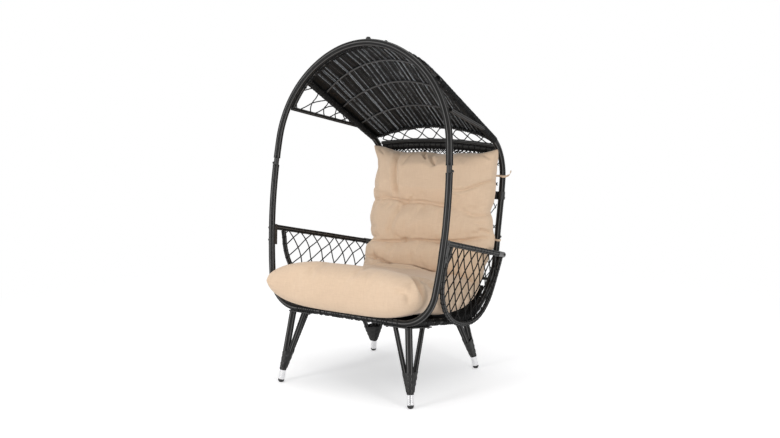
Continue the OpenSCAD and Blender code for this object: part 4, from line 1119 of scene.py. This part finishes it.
def two_waves(soup, low, high, ties, seed):
    """Net of two strands that cross halfway between two lines and tie to each in turn.
    low and high give a point in mm at q; ties lists (q, share of the way from low to high)."""
    rng = np.random.default_rng(seed)
    for strand in ties:
        path = world(smooth([low(q) + (high(q) - low(q)) * f for q, f in strand], 5))
        path += rng.normal(0, 0.0002, path.shape)
        soup.wire(path, CANOPY_STRAND, 7, CANOPY_NET_UP, rng.integers(0, 90))


def canopy_net(side, sign):
    """Two strands between the canopy's side bar and its side rail."""
    def low(depth):
        return (BAR[0] + (BAR[1] - BAR[0]) * (depth - BAR[0][1]) / 476) * [sign, 1, 1]

    def high(depth):
        return np.array([POST_HALF + 4, depth, rail_rise(depth) - RAIL_DROP - 8]) * [sign, 1, 1]

    first = [(36, 0.62), (100, 0.98), (140, 1.0), (146, 0.75), (139, 0.45), (152, 0.14), (176, 0.02),
             (205, 0.2), (226, 0.48), (256, 0.8), (290, 1.0), (304, 0.8), (312, 0.5), (330, 0.15),
             (353, 0.02), (372, 0.2), (388, 0.5), (404, 0.95), (420, 0.7), (432, 0.3), (450, 0.05)]
    second = [(34, 0.55), (44, 0.3), (76, 0.02), (112, 0.2), (139, 0.45), (180, 0.72), (225, 1.0),
              (232, 0.75), (226, 0.48), (246, 0.15), (271, 0.02), (295, 0.2), (312, 0.5), (335, 0.85),
              (352, 1.0), (366, 0.8), (388, 0.5), (404, 0.15), (418, 0.02), (432, 0.4), (446, 0.95),
              (462, 0.5)]
    soup = Soup()
    two_waves(soup, low, high, (first, second), 60)
    piece(soup, f"canopy_net_strands_{side}", STRAND, "wicker", f"canopy_net_{side}")


for side, sign in SIDES:
    canopy_net(side, sign)


def rear_net():
    """Two strands that cross between the canopy's rear arch and its rear rail."""
    top_r, low_r = arc_radius(REAR_HEIGHT), arc_radius(REAR_RAIL_HEIGHT)
    low_top = REAR_RAIL_RISE + REAR_RAIL_HEIGHT

    def high(x):
        return np.array([x, REAR_ARCH, REAR_TOP - top_r + math.sqrt(top_r ** 2 - x * x) - 6])

    def low(x):
        return np.array([x, REAR_RAIL_DEPTH, low_top - low_r + math.sqrt(low_r ** 2 - x * x) + 6])

    cross = [-322, -262, -190, -84, 2, 98, 182, 262, 322]
    waves = []
    for phase in (0, 1):
        wave = []
        for i, (a, b) in enumerate(zip(cross[:-1], cross[1:])):
            edge = 0.46 if (i + phase) % 2 else -0.46
            wave += [(a, 0.5), (a * 0.72 + b * 0.28, 0.5 + edge * 0.86), ((a + b) / 2, 0.5 + edge),
                     (a * 0.28 + b * 0.72, 0.5 + edge * 0.86)]
        waves.append(wave + [(cross[-1], 0.5)])
    soup = Soup()
    two_waves(soup, low, high, waves, 61)
    piece(soup, "canopy_rear_net_strands", STRAND, "wicker", "canopy_rear_net")


rear_net()


def inside(points, outline):
    """Which flat points lie in a closed outline."""
    x, y = points.T
    hit = np.zeros(len(points), bool)
    for (x0, y0), (x1, y1) in zip(outline, np.roll(outline, -1, 0)):
        if y0 != y1:
            hit ^= ((y0 > y) != (y1 > y)) & (x < (x1 - x0) * (y - y0) / (y1 - y0) + x0)
    return hit


def kept_runs(path, keep):
    """The stretches of a path where keep is true."""
    edges = np.flatnonzero(np.diff(np.concatenate([[0], keep.astype(int), [0]])))
    return [path[a:b] for a, b in zip(edges[::2], edges[1::2]) if b - a > 3]


def side_net(side, sign, lattice):
    """Strands of both slants through one lattice of knots, cut to the loop."""
    outline = loop_line(LOOP / 2 - 3)[:, 1:]
    outline = np.concatenate([outline, [[745, arm_rise(745) - 4], [84, arm_rise(84) - 4]]])
    soup = Soup()
    rng = np.random.default_rng(70 + sign)
    rows, cols = lattice.shape[:2]
    strands = [lattice[:, i] for i in range(cols)]
    for total in range(1, rows + cols - 2):
        slant = range(max(0, total - rows + 1), min(cols, total + 1))
        strands.append(np.array([lattice[total - i, i] for i in slant]))
    for k, knots in enumerate(strands):
        if len(knots) < 2:
            continue
        path = smooth(np.pad(knots, ((0, 0), (1, 0))), 5.0)[:, 1:]
        for part in kept_runs(path, inside(path, outline)):
            out = (2.0 if k < cols else -2.0) * np.sin(np.arange(len(part)) * 0.16 + k) * 0.7
            points = on_panel(part[:, 0], part[:, 1])
            points[:, 0] += out
            soup.wire(world(points * [sign, 1, 1]), SIDE_STRAND, 7, SIDEWAYS, rng.integers(0, 90))
    piece(soup, f"side_net_strands_{side}", STRAND, "wicker", f"side_net_{side}")


def left_lattice():
    """Knots of the left net: each strand leaves the rail at 45 degrees and steepens."""
    i = np.arange(-8, 10)
    row = np.array([(0, 0), (32, -38), (50, -79), (58, -130), (70, -173), (90, -225), (116, -290),
                    (146, -360)])
    start = 115 + 82.0 * i
    lattice = np.empty((len(row), len(i), 2))
    uneven = np.random.default_rng(71).normal(0, 3.2, lattice.shape)
    lattice[..., 0] = start + row[:, :1]
    lattice[..., 1] = arm_rise(start) - 5 + row[:, 1:]
    return lattice + uneven * (np.arange(len(row)) > 0)[:, None, None]


def right_lattice():
    """Knots of the right net: one slant falls at 45 degrees to the rear, the other steeply to
    the front."""
    i, row = np.arange(-6, 13), np.arange(9)
    start = 143 + 84.0 * i
    lattice = np.empty((len(row), len(i), 2))
    uneven = np.random.default_rng(72).normal(0, 3.6, lattice.shape)
    lattice[..., 0] = start + 54.0 * row[:, None] + 7 * np.sin(start / 60 + row[:, None] * 0.8)
    lattice[..., 1] = arm_rise(start) - 5 - 54.0 * row[:, None]
    return lattice + uneven * (row > 0)[:, None, None]


side_net("left", -1, left_lattice())
side_net("right", 1, right_lattice())


def back_net():
    """Crossing strands behind the cushion, from the bottom rail up to the top rail."""
    low, high = np.array([748.0, 540.0]), np.array([726.0, 1176.0])
    length = np.linalg.norm(high - low)
    half, pitch = 346.0, 66
    outline = np.array([(-half + 16, 0), (half - 16, 0), (half, 110), (half, length),
                        (-half, length), (-half, 110)])
    soup = Soup()
    rng = np.random.default_rng(75)
    t = np.linspace(0, 1, 130)
    for shift, lift in ((400, 1.6), (-400, -1.6)):
        for start in np.arange(-half - 470, half + 470, pitch):
            x = start + shift * t + 3.0 * np.sin(t * 34 + start)
            flat = np.stack([x, t * length], 1)
            for part in kept_runs(flat, inside(flat, outline)):
                f = part[:, 1] / length
                points = np.stack([part[:, 0], low[0] + (high[0] - low[0]) * f + lift,
                                   low[1] + (high[1] - low[1]) * f], 1)
                soup.wire(world(points), BACK_STRAND, 7, DEPTHWAYS, rng.integers(0, 90))
    piece(soup, "back_net_strands", STRAND, "wicker", "back_net")


back_net()


def back_band():
    """Lace below the back's top rail, and the weave that closes the gap up to the canopy's
    rear rail."""
    top = spaced(back_rail, 5)[::-1]
    over = spaced(rear_rail, 5)[:len(top)][::-1]
    over = points_at(top[:, 0], over[:, 0], over)
    half = POST_HALF - 7

    def place(r, c, out):
        low, high = points_at(c, top[:, 0], top), points_at(c, over[:, 0], over)
        return world(low + (high - low) * (r / 24)[..., None] + np.stack([0 * out, -out, 0 * out], -1))

    soup = woven(place, half, rows=(-24, 24), cols=150, pitch=6.0, cell=9.0, height=1.2, thick=1.6, seed=76)
    piece(soup, "back_top_weave", WEAVE, "wicker")
    soup = Soup()
    rng = np.random.default_rng(77)
    x = np.arange(-half, half, 2.0)
    rail = points_at(x, top[:, 0], top)
    for k in range(4):
        drop = 9 + 10 * k
        turn = x / (6.4 + 0.5 * k)
        for phase in (0, math.pi):
            path = rail.copy()
            path[:, 2] -= drop - 4 + 8.5 * np.sin(turn + phase + rng.uniform(-0.3, 0.3))
            path[:, 1] += 2.4 * np.cos(turn + phase) + 0.022 * drop
            soup.wire(world(path), LACE_STRAND, 6, (0, 1, 0), rng.integers(0, 90))
    piece(soup, "back_top_lace", STRAND, "wicker")


back_band()

# Small lashings where the nets tie to their rails
ties = Soup()
for sign in (-1, 1):
    rail = line(on_arm(96), on_arm(672)) * [sign, 1, 1]
    lashing(ties, rail, radius=12.4, pitch=41.0, width=5.0, seed=80 + sign, start=20, end=330, belly=0.5)
    lashing(ties, side_loop * [sign, 1, 1], radius=11.4, pitch=33.0, width=5.0, seed=83 + sign, start=0,
            end=330, up=SIDEWAYS, belly=0.5)
lashing(ties, back_rail, radius=9.6, pitch=33.0, width=6.0, seed=86, start=0, end=330, belly=0.5)
piece(ties, "net_ties", WEAVE, "wicker")

# ---- seat deck
DECK = ((12, 366), (300, 353), (560, 344), (620, 356), (670, 385), (705, 430), (733, 505))
# Half width of the deck at some depths
DECK_SIDE = ((0, 305), (380, 292), (580, 279), (640, 282), (690, 293), (722, 306), (760, 312))
deck_line = smooth_flat(np.array(DECK, float))
deck_run = lengths(deck_line)
deck_out = unit(np.gradient(deck_line, axis=0))[:, ::-1] * [-1, 1]


def deck_point(r, c, out):
    """Point of the seat deck: r along its line from the front, c across, out above it, in mm."""
    q = points_at(r, deck_run, deck_line) + points_at(r, deck_run, deck_out) * out[..., None]
    half = np.interp(np.interp(r, deck_run, deck_line[:, 0]), *np.array(DECK_SIDE, float).T)
    return world(np.stack([c / 300 * half, q[..., 0], q[..., 1]], -1))


soup = woven(deck_point, half=300.0, rows=(0, float(deck_run[-1])), cols=150, pitch=7.5, cell=20.0,
             height=1.6, thick=2.0, seed=90)
piece(soup, "seat_weave", WEAVE, "wicker", "seat_deck")
edge = lashing(Soup(), level(300, 2, HOOP_LOW), radius=16.0, pitch=13.0, width=9.0, seed=91, start=20,
               end=215, belly=2.2, skip=0.3, thick=2.2, uneven=0.3)
for sign in (-1, 1):
    side_rail = smooth(side_points[7:] * [sign, 1, 1], 6)
    lashing(edge, side_rail, radius=16.0, pitch=11.0, width=9.0, seed=92 + sign, start=-160, end=160,
            up=DOWNWARDS, belly=1.6, skip=0.15, thick=2.0, uneven=0.3)
piece(edge, "seat_lashings", WEAVE, "wicker")

# ---- legs


def basket(p):
    """Points of the room in mm, from the ground below the hoop, as basket points."""
    p = np.asarray(p, float)
    c, s = math.cos(LEAN), math.sin(LEAN)
    return np.stack([p[..., 0], p[..., 1] * c - p[..., 2] * s, p[..., 1] * s + p[..., 2] * c], -1)


def standing(p):
    """Basket points as points of the room in mm, from the ground below the hoop."""
    q = world(p) * 1000
    return q + [0, DEPTH_CENTRE, 0]


# Foot, top of the main tube, tops of the stays, and plates (corner, size, tilt), in mm from the
# ground below the hoop for the foot and in basket points for the rest; right side
LEGS = {
    "front": ((362, 9, 0), (320, 14, 347), ((253, 10, 347), (322, 131, 342)),
              (((205, -12, 343.8), (124, 26), 0), ((304, 0, 343.8), (26, 205), -2.6))),
    "rear": ((309, 719, 0), (262, 645, 338), ((204, 645, 338), (293, 530, 328)),
             (((146, 633, 334.8), (132, 24), 0),)),
}
PLATE = 5.0
LEG, STAY, STAY_MEET, STAY_START = 32.4, 22.8, 36.0, 66.0
WRAP_START, BRAID_START, BRAID_END, BRAID_RADIUS = 59.2, 59.6, 152, 16.8
# Bare steel of the leg between its ferrule and the wrap: diameter in metres, heights in mm
LEG_STEEL, STEEL_START, STEEL_END = 0.0246, 23, 60


def plate(soup, corner, size, tilt, sign):
    """Steel strap with rounded edges, under the frame."""
    w, d = size
    n, r = 6, 5.0
    a = np.radians(np.concatenate([np.linspace(q, q + 90, n) for q in (180, 270, 0, 90)]))
    cx = np.repeat([r, w - r, w - r, r], n)
    cy = np.repeat([r, r, d - r, d - r], n)
    outline = np.stack([cx + r * np.cos(a), cy + r * np.sin(a)], 1)
    centre = np.array([w / 2, d / 2])
    c, s = math.cos(math.radians(tilt)), math.sin(math.radians(tilt))
    rings = []
    for z, inset in ((0, 1.0), (0.8, 0.0), (PLATE - 0.8, 0.0), (PLATE, 1.0)):
        m = outline + (centre - outline) * [inset * 2 / w, inset * 2 / d]
        rings.append(np.stack([corner[0] + m[:, 0], corner[1] + m[:, 1] * c - z * s,
                               corner[2] + m[:, 1] * s + z * c], 1) * [sign, 1, 1])
    rings = world(np.array(rings))[:, ::sign]
    u, v = np.linspace(0, 1, 4 * n + 1), np.arange(4) * 0.005
    soup.sleeve(rings, u, v, rings[0].mean(0), rings[-1].mean(0))


def leg(which, side, sign, seed):
    """One leg: the wraps of its three tubes, its plates and bare steel, and its binding."""
    foot, top, stays, plates = LEGS[which]
    flip = np.array([sign, 1, 1])
    foot, top = np.array(foot, float), standing(top)
    stays = [standing(q) for q in stays]

    def at(z):
        return foot + (top - foot) * z / top[2]

    def room(*points):
        return basket(np.array(points)) * flip

    wrap = wrap_tube(Soup(), room(at(WRAP_START), top), LEG, 6, seed, None, (0, 1.0))
    for k, q in enumerate(stays):
        low = at(STAY_MEET) + (q - at(STAY_MEET)) * (STAY_START - STAY_MEET) / (q[2] - STAY_MEET)
        wrap_tube(wrap, room(low, q), STAY, 6, seed + 3 + k, None)
    piece(wrap, f"leg_{which}_wrap_{side}", WICKER, "wicker", f"leg_{which}_{side}")
    steel = Soup()
    for corner, size, tilt in plates:
        plate(steel, corner, size, tilt, sign)
    steel.wire(world(room(at(STEEL_START), at(STEEL_END))), LEG_STEEL, 24, SIDEWAYS)
    piece(steel, f"leg_{which}_steel_{side}", STEEL, "dark_steel", f"leg_{which}_{side}")
    piece(binding(sign, at, stays, flip), f"leg_{which}_binding_{side}", BRAID, "wicker", "leg_bindings")


def binding(sign, at, stays, flip):
    """Braid over the meeting of the three tubes: strands wound both ways, up to the fork."""
    z = np.concatenate([np.arange(BRAID_START, BRAID_END, 1.3), [BRAID_END, BRAID_END]])
    path = np.array([at(h) for h in z])
    ahead = unit(at(200) - at(60))
    e1 = unit(np.array([1.0, 0, 0]) - ahead[0] * ahead)
    turn = np.linspace(0, 2 * math.pi, 73)[:-1]
    ring = np.cos(turn)[:, None] * e1 + np.sin(turn)[:, None] * np.cross(ahead, e1)
    # how far a band drawn tight round the tubes stands from the leg's line, in each direction;
    # the stays come into it over its first 8 mm
    hold = np.full((len(z), len(turn)), BRAID_RADIUS)
    share = np.clip((z - 60) / 8, 0, 1)[:, None]
    for q in stays:
        off = (q - at(q[2])) * ((z - STAY_MEET) / (q[2] - STAY_MEET))[:, None]
        hold = np.maximum(hold, (off @ ring.T + STAY / 2 + 1.0) * share)
    facing = ring @ ring.T
    reach = np.where(facing > 0.05, hold[:, :, None] / np.maximum(facing, 0.05), 1e9).min(1)
    strands, pitch = 5, 25.0
    round_leg, up_leg = strands * turn[None], 2 * math.pi * z[:, None] / pitch
    over = np.sin(round_leg) * np.sin(up_leg)
    braid = np.maximum(np.cos(round_leg + up_leg) + 0.5 * over, np.cos(round_leg - up_leg) - 0.5 * over)
    grow = np.interp(z, [59, 64, 66], [0.2, 0.2, 1.0])[:, None]
    radius = reach - 0.9 + 1.3 * np.clip(braid, -0.4, 1.1) * grow
    # the last two rings close the end inwards
    radius[-2:] = radius[-3] - [[2.0], [6.0]]
    points = world(basket(path[:, None] + radius[..., None] * ring[None]) * flip)[:, ::sign]
    soup = Soup()
    soup.sleeve(points, np.linspace(0, 12, 73), z / 1000, points[0].mean(0), points[-1].mean(0))
    return soup


for which, seed in (("front", 105), ("rear", 125)):
    for side, sign in SIDES:
        leg(which, side, sign, seed + 5 * sign)

# ---- straps and tufts
# Thickness and widths of the tapes in metres, and the radius of their loops in mm
TAPE_THICK, TAPE_WIDE, TAIL_WIDE = 0.0014, 0.0105, 0.0095
STRAP_RADIUS = 17.8


def ribbon(soup, path, width, across):
    """Flat tape along a path in metres; across is the direction of its width."""
    ahead = unit(np.gradient(path, axis=0))
    across = unit(across - (across * ahead).sum(-1, keepdims=True) * ahead)
    w, t = width / 2, TAPE_THICK / 2
    section = [(-w, -t), (-w * 0.9, t), (0, t * 1.1), (w * 0.9, t), (w, -t), (0, -t * 0.8)]
    soup.tape(path, across, np.cross(ahead, across), section, 0, np.arange(len(path)) * 0.002)


# Height of each strap, middle of the post there, and depth of the pad's edge
STRAPS = ((1056, 760.5, 715), (738, 750.5, 695))
# The loose tail of the upper right strap, from the middle of the post
TAIL = line((10, -15, 0), (22, -6, 2), (36, -2, 9), (45, -6, 20), (48, -12, 30))


def straps():
    """Tapes round the rear posts: from the pad's edge round the post and back."""
    soup = Soup()
    a = np.radians(np.linspace(-160, 150, 44))
    for sign in (-1, 1):
        for rise, depth, edge in STRAPS:
            loop = np.stack([POST_HALF + STRAP_RADIUS * np.cos(a), depth + STRAP_RADIUS * np.sin(a),
                             rise + 1.5 * np.sin(a * 2)], 1)
            pad = line((POST_HALF - 52, edge, rise + 3), (POST_HALF - 36, edge + 12, rise + 1))
            path = smooth(np.concatenate([pad, loop[4:]]), 3) * [sign, 1, 1]
            ribbon(soup, world(path), TAPE_WIDE, line(0, 0, 1))
            if sign > 0 and rise > 1000:
                path = smooth(TAIL + [POST_HALF, depth, rise], 3)
                ribbon(soup, world(path), TAIL_WIDE, line(0.3, 0.5, 0.8))
    piece(soup, "cushion_straps", FABRIC, "cushion_fabric", "cushion_ties")


# Diameter of the thread, in metres
THREAD = 0.0024


def tufts():
    """Short stitches of thread sunk in the channels of the back."""
    co, at, front = pad_points(cushion.data)
    soup = Soup()
    t = np.linspace(-1, 1, 9)
    for tuft in TUFTS:
        gap = np.linalg.norm(at - tuft, axis=1) + 1e3 * (front < 0.5)
        for turn in (-0.5, 0.4):
            bow = -0.0035 * (1 - t * t) - 0.0005
            path = co[gap.argmin()] + np.stack([0.007 * t, bow, 0.007 * t * turn], 1)
            soup.wire(path, THREAD, 7, UPWARDS)
    piece(soup, "tuft_stitches", FABRIC, "cushion_fabric", "tuft_ties")


straps()
tufts()

# ---- materials of the kept CAD nodes
KEPT = {
    STEEL: ["hoop_spigots", "hoop_joint_bolts", "post_collars", "post_bolts", "canopy_bolts",
            "arm_brackets", "arm_bolts", "leg_bolts"],
    RIB: ["canopy_ribs", "arm_rail_ends"],
    RUBBER: ["back_clips", *(f"glide_{which}_{side}" for which in LEGS for side, _ in SIDES)],
    BRIGHT: [f"ferrule_{which}_{side}" for which in LEGS for side, _ in SIDES],
}
for material, names in KEPT.items():
    for name in names:
        mesh = frame["nodes"][name].data
        mesh.materials.clear()
        mesh.materials.append(material)

# ---- floor and light


def floor_material():
    """Light floor that takes the chair's shadow and fades to white further out."""
    m = Look("floor")
    place = m.place()
    cloud = m.noise(place, 0.6, 2.0)
    m.set(Base_Color=m.ramp(cloud, [(0.3, (0.82, 0.82, 0.83)), (0.7, (0.86, 0.86, 0.865))]), Roughness=0.8)
    m.shader.inputs["Specular IOR Level"].default_value = 0.1
    rays = m.add("ShaderNodeLightPath")
    seen = m.math("MAXIMUM", rays.outputs["Is Camera Ray"], rays.outputs["Is Glossy Ray"])
    away = m.add("ShaderNodeVectorMath", {0: place}, operation="LENGTH").outputs["Value"]
    glow = m.add("ShaderNodeEmission", {"Strength": m.times(seen, 0.36)}).outputs[0]
    near = m.add("ShaderNodeAddShader", {0: m.shader.outputs[0], 1: glow}).outputs[0]
    white = m.add("ShaderNodeEmission", {"Strength": 1.0}).outputs[0]
    fade = m.times(seen, m.soft_step(away, 0.9, 3.2))
    both = m.add("ShaderNodeMixShader", {0: fade, 1: near, 2: white}).outputs[0]
    m.put(m.tree.nodes["Material Output"].inputs["Surface"], both)
    return m.material


def set_stage():
    """Square floor, 60 m wide."""
    e = 30.0
    mesh = bpy.data.meshes.new("floor")
    mesh.from_pydata([(-e, -e, 0), (e, -e, 0), (e, e, 0), (-e, e, 0)], [], [(0, 1, 2, 3)])
    mesh.materials.append(floor_material())
    floor = placed("floor", mesh)


# Name, place, width, height and power of each lamp; they look at a point above the seat
LAMPS = (
    ("key", (-1.3, -4.6, 1.5), 1.0, 2.2, 80.0),
    ("fill", (3.7, -1.7, 1.4), 0.7, 2.2, 32.0),
    ("top", (-0.5, 0.1, 4.6), 2.4, 2.4, 30.0),
)
LAMP_TARGET = np.array([0, 0, 0.7])


def set_room():
    """Soft white room, brighter above, that the camera sees as plain white."""
    room = bpy.data.worlds.new("room")
    bpy.context.scene.world = room
    room.use_nodes = True
    n = Nodes(room.node_tree)
    way = n.add("ShaderNodeTexCoord").outputs["Generated"]
    height = n.add("ShaderNodeSeparateXYZ", {0: way}).outputs["Z"]
    bright = n.add("ShaderNodeMapRange", {"Value": height, "From Min": -0.1, "From Max": 0.9,
                                          "To Min": 0.40, "To Max": 0.86}).outputs["Result"]
    soft = n.tree.nodes["Background"]
    soft.inputs["Color"].default_value = (1, 1, 1, 1)
    n.put(soft.inputs["Strength"], bright)
    white = n.add("ShaderNodeBackground", {"Color": (1, 1, 1, 1), "Strength": 1.0}).outputs[0]
    seen = n.add("ShaderNodeLightPath").outputs["Is Camera Ray"]
    both = n.add("ShaderNodeMixShader", {0: seen, 1: soft.outputs[0], 2: white}).outputs[0]
    n.put(n.tree.nodes["World Output"].inputs["Surface"], both)


def set_light():
    """The room and three soft lamps."""
    bpy.context.scene.view_settings.view_transform = "Standard"
    set_room()
    for name, at, wide, tall, power in LAMPS:
        data = bpy.data.lights.new(name, "AREA")
        data.shape = "RECTANGLE"
        data.size, data.size_y = wide, tall
        data.energy = power
        back = unit(np.array(at) - LAMP_TARGET)
        aim(placed(name, data), at, unit(np.cross([0, 0, 1], back)), back)


set_stage()
set_light()
